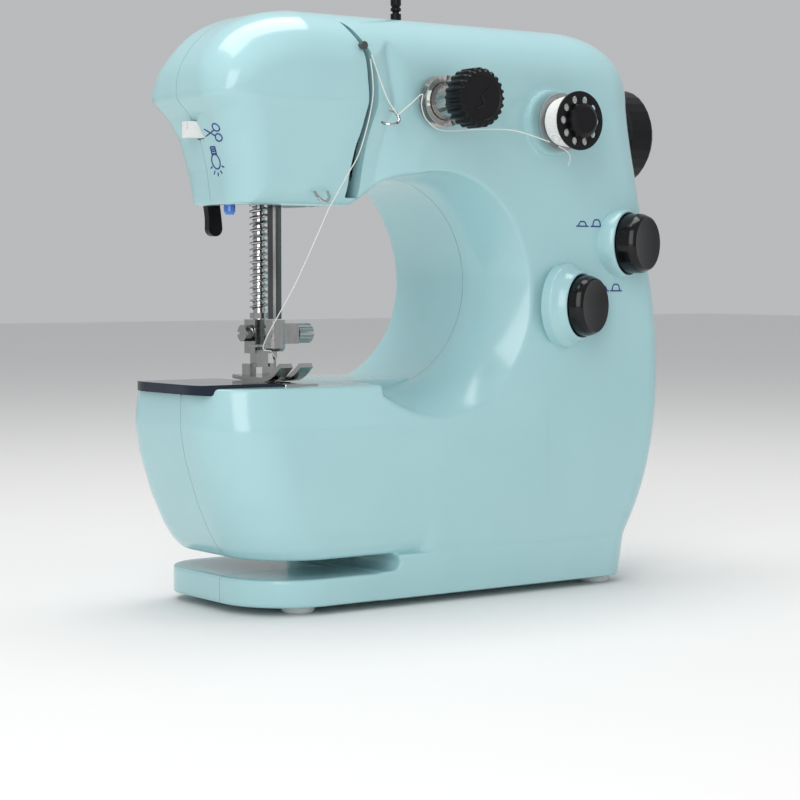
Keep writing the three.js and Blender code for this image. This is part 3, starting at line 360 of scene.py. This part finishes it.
def rod_y(x, z, r, y0=-100.0, y1=100.0):
    """Distance to a round bar along Y."""
    return np.maximum(np.hypot(X - x, Z - z) - r, np.maximum(y0 - Y, Y - y1))


def button_frame(x, z):
    """Distance from a button's axis and the place along it, outwards from the front face."""
    dx, dy = X - x, Y - FRONT_Y
    out = -dy * math.cos(BUTTON_TILT) + dx * math.sin(BUTTON_TILT)
    across = dx * math.cos(BUTTON_TILT) + dy * math.sin(BUTTON_TILT)
    return np.hypot(across, Z - z), out


def head_field():
    """The head: narrow at its foot, widest at its crease and domed above it."""
    flank = [(130, -2.4), (134, -3), (146, -4.6), (157, -7.5), (163.5, -11), (HEAD_CREASE, -15.8)]
    dome = [(HEAD_CREASE, -15.8), (171.5, -16.2), (178, -15.2), (184, -12), (189, -7.6), (193, -2.4)]
    dome += [(196, 4), (198.2, 11.5), (SHELL_TOP, 20)]
    front = [(130, -18.6), (134, -19.5), (146, -21.6), (157, -24), (163.5, -26), (HEAD_CREASE, FRONT_Y)]
    rear = [(130, 19.4), (134, 20), (146, 21.2), (157, 22.5), (163.5, 24), (HEAD_CREASE, 26)]
    left = [(x, z) for z, x in flank[:-1]] + smooth_through([(x, z) for z, x in dome])
    side = outline_distance(left + [(60, SHELL_TOP), (60, 130)])
    edge = rising(12, 19, 165, 188)
    shape = carve(side, soft_profile(front, Z, 0.3) - Y, edge)
    shape = carve(shape, Y - soft_profile(rear + [(204, 26.4)], Z, 0.3), edge)
    return carve(shape, HEAD_BOTTOM - Z, 1.2)


def column_outline():
    """The column and the arm seen from the front, with a broad corner at the top right."""
    outline = [(42, BASE_TOP - 8), (159, BASE_TOP - 8), (163, BASE_TOP)]
    outline += curve_points((163, BASE_TOP), (176, 36), (178, 64))
    outline += curve_points((178, 64), (179.4, 86), (175, 108))
    outline += curve_points((175, 108), (170, 128), (CORNER_X + CORNER_WIDE, SHELL_TOP - CORNER_TALL))
    for angle in np.radians(np.linspace(4, 90, 24)):
        across = math.cos(angle) ** CORNER_POWER if angle < 1.57 else 0
        up = math.sin(angle) ** CORNER_POWER
        outline.append((CORNER_X + CORNER_WIDE * across, SHELL_TOP - CORNER_TALL + CORNER_TALL * up))
    return outline + [(42, SHELL_TOP)]


def column_field():
    """The column and the arm as one slab, leaned back towards the head on both faces."""
    side = outline_distance(column_outline())
    depth = soft_profile([(38, 9.5), (42, 9.3), (52, 7), (68, 0), (120, 0)], X, 3)
    lean = np.clip((HEAD_CREASE - Z) / 36, 0, 1.2)
    front = FRONT_Y + depth * lean
    back = soft_profile([(20, 26.4), (42, 26.4), (60, 28), (84, 36), (97, REAR_Y), (180, REAR_Y)], X, 7)
    slope = 6.5 * np.clip((HEAD_CREASE - Z) / 37, 0, 1) * np.clip((REAR_Y - back) / 14, 0, 1)
    low_back = np.clip((HEAD_BOTTOM - 8 - Z) / 16, 0, 1)
    back = (back - slope) * (1 - low_back) + REAR_Y * low_back
    edge = rising(10, 19, 120, 180)
    return carve(carve(side, front - Y, edge), Y - back, edge)


def free_arm_field():
    """The free arm: a trough that narrows downwards, with a crease under its rim."""
    left = [(10, 5), (15.3, 2.9), (19, -1), (25, -4.6), (36, -9.4), (50, -13.7), (60, -15.3)]
    left += [(68, -15.2), (74, -14.6)]
    front = [(10, -25), (15.3, -25.5), (19, -26.8), (25, -27.6), (36, -28.2), (ARM_CREASE, -28.2)]
    front += [(74, -24.6), (80, -23)]
    rear = [(10, 39), (15.3, 39.5), (19, 41), (25, 41.6), (36, REAR_Y), (60, REAR_Y), (74, 40.2), (80, 39.2)]
    shape = carve(soft_profile(left, Z, 1.5) - X, soft_profile(front, Z, 0.3) - Y, 24)
    shape = carve(shape, Y - soft_profile(rear, Z, 1.0), 15)
    shape = np.maximum(shape, X - 120)
    return carve(carve(shape, Z - TABLE_Z, 1.1), BASE_PLATE + 5.5 - Z, 1.4)


def base_field():
    """The base: a plate with a round left end under the free arm and a block under the column."""
    front = -27 - 1.2 * np.clip(Z / 15, 0, 1.2)
    ends = carve(-0.5 - X, front - Y, 26)
    ends = carve(ends, Y - 44, 18)
    right = carve(carve(X - 161.6 - 0.1 * Z, front - Y, 12), Y - 44, 14)
    plan = np.maximum(ends, right)
    plate = carve(carve(plan, Z - BASE_PLATE, 1.0), -Z, 0.8)
    column_foot = carve(np.maximum(plan, SLEEVE_END - 8 - X), Z - BASE_TOP + 0.8, 0.3)
    return np.minimum(plate, np.maximum(column_foot, -Z))


def throat_field():
    """The open throat: a flat gap on the left, a round end on the right and a funnel at the front."""
    x, z, r = THROAT
    low = math.degrees(math.asin((z - TABLE_Z) / r))
    outline = [(-80, TABLE_Z)] + arc(x, z, r, -low, 112) + [(41, HEAD_BOTTOM), (-80, HEAD_BOTTOM)]
    straight = outline_distance(outline)
    flare = np.clip(Y / FRONT_Y, 0, 1.3) ** 2
    fx = x + (FUNNEL[0] - x) * flare
    fz = z + (FUNNEL[1] - z) * flare
    fr = r + (FUNNEL[2] - r) * flare
    cone = np.hypot(X - fx, Z - fz) - fr
    funnel = np.maximum(np.maximum(cone, 50 - X), Y)
    return np.minimum(straight, funnel)


def dish_field():
    """The shallow cone that dishes the front face round the funnel."""
    x, z, r = DISH
    steepness = math.hypot(1, DISH_SLOPE)
    return (np.hypot(X - x, Z - z) - r + DISH_SLOPE * (Y - FRONT_Y)) / steepness


def sleeve_field():
    """The gap under the free arm with its round inner end."""
    outline = [(-60, BASE_PLATE)]
    outline += arc(SLEEVE_END - 2.75, BASE_PLATE + 2.75, 2.75, -90, 90, 12) + [(-60, BASE_PLATE + 5.5)]
    return outline_distance(outline)


# The take-up slot's two edges on the front face, from its pointed top down to its flat foot.
SLOT_LEFT = [(34.8, 196.5), (36.4, 193), (39.2, 188), (40.6, 183), (41.4, 176.6), (41.9, 169.2)]
SLOT_LEFT += [(40.9, 159.4), (39.5, 153.9), (38.4, 145.4), (37.9, 137)]
SLOT_RIGHT = [(43, 137), (43.2, 144.7), (43.8, 153.8), (44.9, 161.5), (45.8, 167), (45.8, 172.7)]
SLOT_RIGHT += [(45.5, 176.8), (44.5, 181.4), (42.9, 185.6), (40.9, 188.9), (38.1, 193.4), (34.8, 196.5)]


def slot_field():
    """The take-up slot: it follows the lever's swing and ends above the head's underside."""
    return outline_distance(smooth_through(SLOT_LEFT, 5) + smooth_through(SLOT_RIGHT, 5))


POWER, SPEED = (156.5, 122.5), (131.5, 100.0)
SPINDLE, TENSION = (121.0, 165.0), (69.5, 170.0)
SLOT_WALL = 5.5
BOBBIN_BOSS = 11.7
JACKS_X, JACKS_Z = (150, 134), 30
SEAM_SCREWS = ((150, 185), (72, 168), (165, 60), (30, 40))


def body_field():
    """The body with its creases, before the shell's holes are cut."""
    body = np.minimum(column_field(), head_field())
    body = join(body, free_arm_field(), 0.5)
    body = np.minimum(body, base_field())
    body = cut(body, throat_field(), 1.4)
    body = cut(body, sleeve_field(), 1.0)
    return cut(body, dish_field(), 0.3)


def moulded_shell(body):
    """The body as a shell of even thickness with the bobbin's boss and the walls of the take-up slot."""
    shell = np.maximum(body, -(body + WALL))
    collar = np.maximum(slot_field() - 1.5, -(body + SLOT_WALL))
    shell = np.minimum(shell, np.maximum(np.maximum(collar, body), Y + 12))
    ring = carve(rod_y(*SPINDLE, BOBBIN_BOSS, FRONT_Y - 2.4, FRONT_Y + 2), FRONT_Y - 2.4 - Y, 0.6)
    return join(shell, ring, 0.5)


def openings(body):
    """Everything that is cut through the shell's wall, as one field."""
    holes = [np.maximum(slot_field(), Y + 11)]
    for place in (POWER, SPEED):
        away, out = button_frame(*place)
        holes.append(np.maximum(away - 11.1, -out - 16))
    holes += [rod_y(*SPINDLE, 2.6, -60, -15), rod_y(*TENSION, 2.3, -60, -15)]
    holes += [block(2.5, 36, -8, 18, 128, 141), block(-40, 16.5, -14.3, 28.3, 71.3, 90)]
    holes += [block(16.7, 31.3, -14.3, 22.3, 60, 90), block(31.7, 142.3, -20.3, 36.3, -9, 4.4)]
    holes += [block(-24, -2, -3.3, 2.3, 156, 162)]
    holes += [rod_y(x, JACKS_Z, 4.2, 30) for x in JACKS_X]
    holes += [rod_y(x, z, 3.0, 25) for x, z in SEAM_SCREWS]
    holes += [rod_y(10.6, 140, 3.3, 12, 42)]
    holes += [np.maximum(np.hypot(Y - 7, Z - 164) - 4, 160 - X)]
    holes += [np.maximum(np.hypot(X - 76, Y - 4) - 2.1, 190 - Z)]
    made = holes[0] + np.zeros_like(body)
    for hole in holes[1:]:
        made = np.minimum(made, hole)
    return made


def sample(field, points):
    """A field's values at places counted in voxels, straight between the grid's own values."""
    base = np.clip(np.floor(points).astype(int), 0, np.array(field.shape) - 2)
    part = points - base
    total = np.zeros(len(points))
    for corner in range(8):
        step = np.array([corner & 1, corner >> 1 & 1, corner >> 2 & 1])
        weight = np.prod(np.where(step, part, 1 - part), axis=1)
        at = base + step
        total += weight * field[at[:, 0], at[:, 1], at[:, 2]]
    return total


def onto_surface(field, points, rows):
    """Moves some points along a field's slope onto its zero surface."""
    here = points[rows]
    value = sample(field, here) / VOXEL
    slope = np.empty_like(here)
    for axis in range(3):
        step = np.zeros(3)
        step[axis] = 0.5
        slope[:, axis] = (sample(field, here + step) - sample(field, here - step)) / VOXEL
    steep = np.maximum((slope**2).sum(axis=1), 0.3)
    move = slope * (value / steep)[:, None]
    points[rows] = here - np.clip(move, -0.6, 0.6)


def crisp(points, kept, removed):
    """Draws the vertices near a cut's edge onto both surfaces, so that the edge is a clean line."""
    far = np.abs(sample(kept, points)) / VOXEL
    near_cut = np.abs(sample(removed, points)) / VOXEL
    edge = np.flatnonzero((far < 0.75) & (near_cut < 0.75))
    plain = np.flatnonzero((far < 0.75) & (near_cut >= 0.75))
    walls = np.flatnonzero((far >= 0.75) & (near_cut < 0.75))
    onto_surface(kept, points, plain)
    onto_surface(removed, points, walls)
    for _ in range(3):
        onto_surface(kept, points, edge)
        onto_surface(removed, points, edge)
    return points


def mesh_of_field(name, kept, removed, material):
    """Meshes what is inside one field and outside another, in the frame."""
    grid = openvdb.FloatGrid(background=3 * VOXEL)
    grid.copyFromArray(np.ascontiguousarray(np.maximum(kept, -removed), dtype=np.float32))
    points, quads = grid.convertToQuads(isovalue=0.0)
    points = crisp(points.astype(float), kept, removed)
    points = (points * VOXEL + LOW) * MM + np.array(SHIFT)
    mesh = bpy.data.meshes.new(name)
    mesh.from_pydata(points.tolist(), [], quads[:, ::-1].tolist())
    mesh.validate()
    mesh.polygons.foreach_set("use_smooth", [True] * len(mesh.polygons))
    mesh.set_sharp_from_angle(angle=math.radians(38))
    piece = bpy.data.objects.new(name, mesh)
    bpy.context.scene.collection.objects.link(piece)
    mesh.materials.append(material)
    return piece


def build_shells():
    """The front and rear half shells, parted at the seam."""
    body = body_field()
    shell = moulded_shell(body)
    holes = openings(body)
    front = mesh_of_field("front_shell_skin", shell, np.minimum(holes, -SEAM_GAP - Y), TEAL)
    rear = mesh_of_field("rear_shell_skin", shell, np.minimum(holes, Y - SEAM_GAP), TEAL)
    return front, rear


front_skin, rear_skin = build_shells()
for skin, node in ((front_skin, "front_shell"), (rear_skin, "rear_shell")):
    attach(skin, "housing")
    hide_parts(node)
print("shell faces", len(front_skin.data.polygons), len(rear_skin.data.polygons))

# ---------------------------------------------------------------- building small pieces
def new_piece(name, made, material, body, replaced=(), slot=None, smooth_angle=38):
    """Turns a bmesh in frame metres into a piece that rides on a body."""
    bmesh.ops.recalc_face_normals(made, faces=made.faces)
    mesh = bpy.data.meshes.new(name)
    made.to_mesh(mesh)
    made.free()
    mesh.polygons.foreach_set("use_smooth", [True] * len(mesh.polygons))
    mesh.set_sharp_from_angle(angle=math.radians(smooth_angle))
    mesh.materials.append(material)
    piece = bpy.data.objects.new(name, mesh)
    bpy.context.scene.collection.objects.link(piece)
    if body:
        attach(piece, body)
    if replaced:
        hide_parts(*replaced)
    return piece


def revolve(made, place, profile, steps=72, tilt=0.0, ribs=0, ribbed=None):
    """Turns a profile of (radius, distance out) about an axis that stands on the front face."""
    out = Vector((math.sin(tilt), -math.cos(tilt), 0))
    across = Vector((math.cos(tilt), math.sin(tilt), 0))
    root = Vector((place[0], FRONT_Y, place[1]))
    rings = []
    for radius, height in profile:
        ring = []
        for i in range(steps):
            angle = 2 * math.pi * i / steps
            r = radius
            if ribbed and radius > ribbed:
                r = radius - 0.45 * (1 - min(max(2.2 * math.cos(ribs * angle), -1), 1))
            at = root + out * height + across * (r * math.cos(angle)) + Vector((0, 0, r * math.sin(angle)))
            ring.append(made.verts.new(world(*at)))
            if radius == 0:
                break
        rings.append(ring)
    for low, high in zip(rings, rings[1:]):
        for i in range(steps):
            j = (i + 1) % steps
            corners = [low[i % len(low)], low[j % len(low)], high[j % len(high)], high[i % len(high)]]
            corners = list(dict.fromkeys(corners))
            if len(corners) > 2:
                made.faces.new(corners)


def turned(name, place, profile, material, body, **extra):
    """A turned piece on the front, from a profile that ends on the axis or closes on itself."""
    shape = {key: extra.pop(key) for key in ("steps", "tilt", "ribs", "ribbed") if key in extra}
    made = bmesh.new()
    revolve(made, place, profile, **shape)
    return new_piece(name, made, material, body, **extra)


def add_tube(made, line, radius, sides=8):
    """A round tube along frame points, closed at both ends."""
    line = [Vector(point) for point in line]
    along = (line[1] - line[0]).normalized()
    side = along.orthogonal().normalized()
    rings = []
    for i, point in enumerate(line):
        ahead = (line[min(i + 1, len(line) - 1)] - line[max(i - 1, 0)]).normalized()
        side = (side - ahead * side.dot(ahead)).normalized()
        up = ahead.cross(side)
        ring = []
        for k in range(sides):
            angle = 2 * math.pi * k / sides
            ring.append(made.verts.new(point + (side * math.cos(angle) + up * math.sin(angle)) * radius))
        rings.append(ring)
    for low, high in zip(rings, rings[1:]):
        for k in range(sides):
            made.faces.new((low[k], low[(k + 1) % sides], high[(k + 1) % sides], high[k]))
    made.faces.new(rings[0][::-1])
    made.faces.new(rings[-1])


def eased(points, steps=8):
    """A smooth line through points in space."""
    ends = [Vector(points[0])] + [Vector(p) for p in points] + [Vector(points[-1])]
    made = [ends[0].copy()]
    for a, b, c, d in zip(ends, ends[1:], ends[2:], ends[3:]):
        for i in range(1, steps + 1):
            u = i / steps
            bend = (2 * a - 5 * b + 4 * c - d) * u**2 + (3 * b - a - 3 * c + d) * u**3
            made.append((2 * b + (c - a) * u + bend) / 2)
    return made


# ---------------------------------------------------------------- knob, bobbin and buttons
KNOB_FACE = 26.1
KNOB = [(0, KNOB_FACE), (7.4, KNOB_FACE), (7.8, 26.5), (8.4, 26.5), (9.5, 26), (10, 25), (10, 18.6)]
KNOB += [(9.4, 17.7), (7.2, 17.6), (7, 17), (7, 15.2), (1.8, 15), (1.8, 25.8), (0, 25.8)]
turned(
    "ribbed_knob",
    TENSION,
    KNOB,
    BLACK,
    "tension_knob",
    steps=240,
    ribs=24,
    ribbed=8.9,
    replaced=("tension_knob",),
    slot="black_plastic",
)

# The raised swirl on the knob's face, in X and Z from the knob's axis.
SWIRL = [(-2.6, -3.6), (0.6, -2.4), (-0.2, 0.2), (1.2, 1.6), (3.2, 3.6), (4.4, 4.6)]
SWIRL_RADIUS = 0.32 * MM
swirl_line = []
for x, _, z in eased([(x, 0, z) for x, z in SWIRL], 5):
    swirl_line.append(world(TENSION[0] + x, FRONT_Y - KNOB_FACE, TENSION[1] + z))
made = bmesh.new()
add_tube(made, swirl_line, SWIRL_RADIUS)
new_piece("knob_swirl", made, BLACK_GLOSS, "tension_knob")

CAP = [(0, 9.5), (8.9, 9.7), (9.4, 9.8), (9.9, 9.4), (10.3, 8.4), (10.7, 7.6), (10.85, 7)]
CAP += [(10.85, 1.4), (10.5, 1), (0, 1)]
for button, place in (("power", POWER), ("speed", SPEED)):
    turned(
        f"{button}_cap",
        place,
        CAP,
        BLACK_GLOSS,
        f"{button}_button",
        tilt=BUTTON_TILT,
        steps=96,
        replaced=(f"{button}_button",),
        slot="black_plastic",
    )


# The collar round each button: low on the power button and a broad slope on the speed button.
POWER_COLLAR = [(11.2, -6), (11.2, 1.6), (11.4, 2), (11.9, 2.1), (12.4, 1.6), (12.7, -2)]
POWER_COLLAR += [(12.7, -6), (11.2, -6)]
SPEED_COLLAR = [(11.2, -4), (11.2, 4), (11.5, 4.4), (11.9, 4.4), (12.3, 3.9), (13, 1.9), (14, 0.6)]
SPEED_COLLAR += [(15.2, -0.2), (15.4, -1), (15.4, -4), (11.2, -4)]
for button, place, profile in (("power", POWER, POWER_COLLAR), ("speed", SPEED, SPEED_COLLAR)):
    turned(
        f"{button}_collar",
        place,
        profile,
        TEAL,
        "housing",
        tilt=BUTTON_TILT,
        steps=96,
        slot="teal_plastic",
        smooth_angle=60,
    )


FLANGE_RADIUS, BORE_RADIUS, HOLE_CIRCLE, FLANGE_HOLES = 10.2, 2.5, 7.5, 10


def flange(name, height, material, hole):
    """A bobbin flange pierced by ten round holes, at a distance out from the front face."""
    drawing = bpy.data.curves.new(name, "CURVE")
    drawing.dimensions = "2D"
    drawing.fill_mode = "BOTH"
    drawing.extrude = 0.35 * MM
    drawing.bevel_depth = 0.12 * MM
    circles = [(0, 0, FLANGE_RADIUS, 64), (0, 0, BORE_RADIUS, 24)]
    for i in range(FLANGE_HOLES):
        turn = i * math.tau / FLANGE_HOLES
        circles.append((HOLE_CIRCLE * math.cos(turn), HOLE_CIRCLE * math.sin(turn), hole, 20))
    for x, z, radius, steps in circles:
        spline = drawing.splines.new("POLY")
        spline.points.add(steps - 1)
        for i, point in enumerate(spline.points):
            angle = math.tau * i / steps
            point.co = ((x + radius * math.cos(angle)) * MM, (z + radius * math.sin(angle)) * MM, 0, 1)
        spline.use_cyclic_u = True
    shape = bpy.data.objects.new(name, drawing)
    bpy.context.scene.collection.objects.link(shape)
    flat = bpy.data.meshes.new_from_object(shape.evaluated_get(bpy.context.evaluated_depsgraph_get()))
    bpy.data.objects.remove(shape)
    made = bmesh.new()
    made.from_mesh(flat)
    bmesh.ops.remove_doubles(made, verts=made.verts, dist=1e-6)
    for vert in made.verts:
        x, z, lift = vert.co
        vert.co = world(SPINDLE[0], FRONT_Y - height, SPINDLE[1]) + Vector((x, -lift, z))
    return new_piece(name, made, material, "top_bobbin")


front_flange = flange("bobbin_front_flange", 15.8, BLACK, 1.5)
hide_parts("top_bobbin")
flange("bobbin_rear_flange", 5.9, STEEL, 1.4)
CORE = [(BORE_RADIUS, 6), (4.2, 6), (4.2, 15.6), (BORE_RADIUS, 15.6), (BORE_RADIUS, 6)]
turned("bobbin_core", SPINDLE, CORE, BLACK, "top_bobbin")
# The wound thread: its outline swells in the middle and ripples from turn to turn.
WINDING_STEPS = 42
winding = [(4.2, 6.6)]
for step in range(WINDING_STEPS):
    bulge = 8.3 + 0.5 * math.sin(math.pi * step / (WINDING_STEPS - 1))
    winding.append((bulge + (0.12 if step % 2 else -0.05), 6.7 + step * 0.2))
winding += [(4.2, 15.2), (4.2, 6.6)]
turned(
    "bobbin_winding", SPINDLE, winding, THREAD, "top_bobbin", replaced=("top_bobbin_thread",), slot="thread"
)

# ---------------------------------------------------------------- presser bar spring
spring_low, spring_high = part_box("presser_spring")
SPRING_AT = centre("presser_spring")
SPRING_FOOT, SPRING_HEAD = design(spring_low).z + 0.5, design(spring_high).z - 0.5
COILS, COIL_RADIUS, SPRING_WIRE = 17.5, 2.75, 0.58
STEPS_PER_COIL = 20
spring_steps = int(COILS * STEPS_PER_COIL)
helix = []
for i in range(spring_steps + 1):
    share = i / spring_steps
    angle = math.tau * COILS * share
    x = SPRING_AT.x + COIL_RADIUS * math.cos(angle)
    y = SPRING_AT.y + COIL_RADIUS * math.sin(angle)
    helix.append(world(x, y, SPRING_FOOT + (SPRING_HEAD - SPRING_FOOT) * share))
made = bmesh.new()
add_tube(made, helix, SPRING_WIRE * MM)
spring = new_piece(
    "presser_coil_spring", made, CHROME, "presser_bar", replaced=("presser_spring",), slot="chrome"
)
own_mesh(spring)

# ---------------------------------------------------------------- sewing thread
THREAD_RADIUS = 0.2 * MM
ARM_HOOK, HEAD_HOOK = (50.4, -32.6, 164.6), (28.6, -23.6, 133.4)
BOBBIN_TO_HOOK = [(112.6, -37.5, 157.6), (98, -36, 161), (84, -33.8, 161), (74, -32.7, 160.2)]
BOBBIN_TO_HOOK += [(67, -32.6, 160.6), (62, -32.6, 164), (60.2, -32.7, 168.4), (60.4, -32.8, 172)]
BOBBIN_TO_HOOK += [(56, -32.8, 168.8), ARM_HOOK]
HOOK_TO_LEVER = [ARM_HOOK, (46.4, -31.6, 170.6), (41.4, -30, 184.4)]
LEVER_TO_HEAD = [(41.2, -29.8, 183), (42.2, -29.6, 170), (39.4, -26.4, 153), (34.6, -25.2, 144), HEAD_HOOK]
HEAD_TO_NEEDLE = [HEAD_HOOK, (22.5, -13, 109), (15.6, -3.4, 88), (18.6, -3.2, 85), (21.7, -1.6, 81.6)]
HEAD_TO_NEEDLE += [(22, -1, 75.4)]
BOBBIN_TAIL = [(118, -36, 156.4), (121.6, -36.4, 154.6), (123.4, -36, 152.4), (122.8, -35.6, 149.6)]


def thread_run(name, points, body="housing", replaced=()):
    """A run of sewing thread through design points."""
    made = bmesh.new()
    add_tube(made, [world(*point) for point in eased(points, 10)], THREAD_RADIUS, 6)
    return new_piece(name, made, THREAD, body, replaced=replaced, slot="thread")


thread_run("thread_bobbin_to_hook", BOBBIN_TO_HOOK, replaced=("thread_upper",))
thread_run("thread_bobbin_tail", BOBBIN_TAIL, "top_bobbin")
up = thread_run("thread_hook_to_lever", HOOK_TO_LEVER, None)
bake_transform(up)
down = thread_run("thread_lever_to_head", LEVER_TO_HEAD, None, ("thread_lower",))
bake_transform(down)
last = thread_run("thread_head_to_needle", HEAD_TO_NEEDLE, None)
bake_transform(last)

# ---------------------------------------------------------------- printed marks
skin_points = [vertex.co for vertex in front_skin.data.vertices]
SKIN = BVHTree.FromPolygons(skin_points, [face.vertices[:] for face in front_skin.data.polygons])


def printed(name, strokes, look, width=0.26):
    """Thin raised ink: each stroke falls onto the front shell along X, or along Y from the front."""
    made = bmesh.new()
    for stroke in strokes:
        line = []
        for point in stroke:
            start = world(*((-60, *point) if look == "x" else (point[0], -80, point[1])))
            way = Vector((1, 0, 0)) if look == "x" else Vector((0, 1, 0))
            line.append(SKIN.ray_cast(start, way)[0])
        add_tube(made, line, width * MM, 6)
    return new_piece(name, made, PRINT, "housing")


def loop(y, z, across, up, steps=20):
    """A closed oval stroke."""
    turns = [math.tau * i / steps for i in range(steps + 1)]
    return [(y + across * math.cos(turn), z + up * math.sin(turn)) for turn in turns]


def between(a, b, steps=6):
    """A straight stroke, cut into short steps so that it follows the surface."""
    return [(a[0] + (b[0] - a[0]) * i / steps, a[1] + (b[1] - a[1]) * i / steps) for i in range(steps + 1)]


SCISSORS = [between((-3, 156.4), (-10.6, 158.4)), between((-5.2, 159), (-10.2, 156.6))]
SCISSORS += [loop(-12.6, 159.2, 1.9, 1.2), loop(-12, 156, 1.9, 1.2)]
printed("scissors_mark", SCISSORS, "x")
BULB = [loop(-7, 148.4, 2.5, 2.4)]
BULB += [between((side, 150.4), (side, 153.2)) for side in (-8.4, -5.6)]
BULB += [between((-8.4, z), (-5.6, z), 3) for z in (151, 151.8, 152.5, 153.2)]
for ray in (-1.2, -0.6, 0, 0.6, 1.2):
    inner, outer = ((-7 + far * math.sin(ray), 148 - far * math.cos(ray)) for far in (3.2, 4.4))
    BULB.append(between(inner, outer, 2))
printed("bulb_mark", BULB, "x")


def button_mark(x, z, tall):
    """A raised or pressed button in outline on its line."""
    shoulder = z + tall - 0.7
    top = [(x - 1.9, z), (x - 1.5, shoulder), (x - 0.9, z + tall), (x + 0.9, z + tall), (x + 1.5, shoulder)]
    return [top + [(x + 1.9, z)], between((x - 2.8, z), (x + 2.8, z))]


printed("power_mark", button_mark(136.2, 128.6, 1.7) + button_mark(142.9, 128.6, 2.4), "y")
printed("speed_mark", button_mark(146.2, 105.2, 1.7) + button_mark(152.4, 105.2, 2.4), "y")

# ---------------------------------------------------------------- screws in the rear shell
SCREW = [(0, 56.2), (1.7, 56.1), (2.5, 55.6), (2.7, 54.8), (2.7, 54.4), (1.3, 54.4), (1.3, 46), (0, 45)]
for number, place in enumerate(SEAM_SCREWS, 1):
    turned(f"seam_screw_{number}", place, SCREW, STEEL, "housing", tilt=math.pi, steps=32)

# ---------------------------------------------------------------- finishes of the CAD pieces
SLOT_FINISH = {
    "teal_plastic": TEAL,
    "black_plastic": BLACK,
    "white_plastic": WHITE,
    "smoke_plastic": SMOKE,
    "blue_lens": LENS,
    "rubber": RUBBER,
    "chrome": CHROME,
    "steel": STEEL,
    "dark_steel": DARK_STEEL,
    "brass": BRASS,
    "belt_rubber": BELT,
    "thread": THREAD,
}
for row in frame["record"]["subparts"]:
    node = frame["nodes"][row["node"]]
    node.data.materials.clear()
    node.data.materials.append(SLOT_FINISH[row["material_slot"]])

# ---------------------------------------------------------------- camera, lights and floor
CAMERA_AT = world(-375.5, -620, 111)
AZIMUTH = math.radians(36)
FOCAL_PIXELS, WIDTH = 2150, 800
HORIZON_ROW, MIDDLE_ROW = 275, 400


def add_camera():
    """The camera stands at the front left, level with the throat, and looks a little down."""
    data = bpy.data.cameras.new("camera")
    data.sensor_width = 36
    data.lens = 36 * FOCAL_PIXELS / WIDTH
    pitch = math.atan((MIDDLE_ROW - HORIZON_ROW) / FOCAL_PIXELS)
    level = math.cos(pitch)
    view = Vector((math.sin(AZIMUTH) * level, math.cos(AZIMUTH) * level, -math.sin(pitch)))
    camera = bpy.data.objects.new("camera", data)
    camera.location = CAMERA_AT
    camera.rotation_euler = view.to_track_quat("-Z", "Y").to_euler()
    bpy.context.scene.collection.objects.link(camera)
    bpy.context.scene.camera = camera


def add_area(name, location, target, size, power):
    """A soft area light that looks at a target."""
    data = bpy.data.lights.new(name, "AREA")
    data.shape = "RECTANGLE"
    data.size, data.size_y = size
    data.energy = power
    lamp = bpy.data.objects.new(name, data)
    lamp.location = location
    lamp.rotation_euler = (Vector(target) - Vector(location)).to_track_quat("-Z", "Y").to_euler()
    bpy.context.scene.collection.objects.link(lamp)


def add_stage():
    """A plain pale floor, a plain bright world and soft studio lights."""
    mesh = bpy.data.meshes.new("floor")
    made = bmesh.new()
    bmesh.ops.create_grid(made, x_segments=1, y_segments=1, size=4)
    made.to_mesh(mesh)
    made.free()
    floor = bpy.data.objects.new("floor", mesh)
    bpy.context.scene.collection.objects.link(floor)
    material, tree, shader = new_material("floor_pale")
    shader.inputs["Base Color"].default_value = (0.86, 0.85, 0.84, 1)
    shader.inputs["Roughness"].default_value = 0.6
    mesh.materials.append(material)
    backdrop = bpy.data.worlds.new("studio")
    backdrop.use_nodes = True
    backdrop.node_tree.nodes["Background"].inputs["Color"].default_value = (0.93, 0.95, 0.97, 1)
    backdrop.node_tree.nodes["Background"].inputs["Strength"].default_value = 0.52
    bpy.context.scene.world = backdrop
    add_area("key", (-0.52, -0.5, 0.42), (-0.03, 0, 0.1), (0.3, 0.8), 2.3)
    add_area("fill", (0.9, -0.7, 0.5), (0, 0, 0.1), (0.9, 0.9), 0.4)
    add_area("top", (0.0, 0.1, 1.1), (0, 0, 0.1), (0.9, 0.6), 7)


add_camera()
add_stage()
bpy.context.scene.view_settings.view_transform = "Standard"
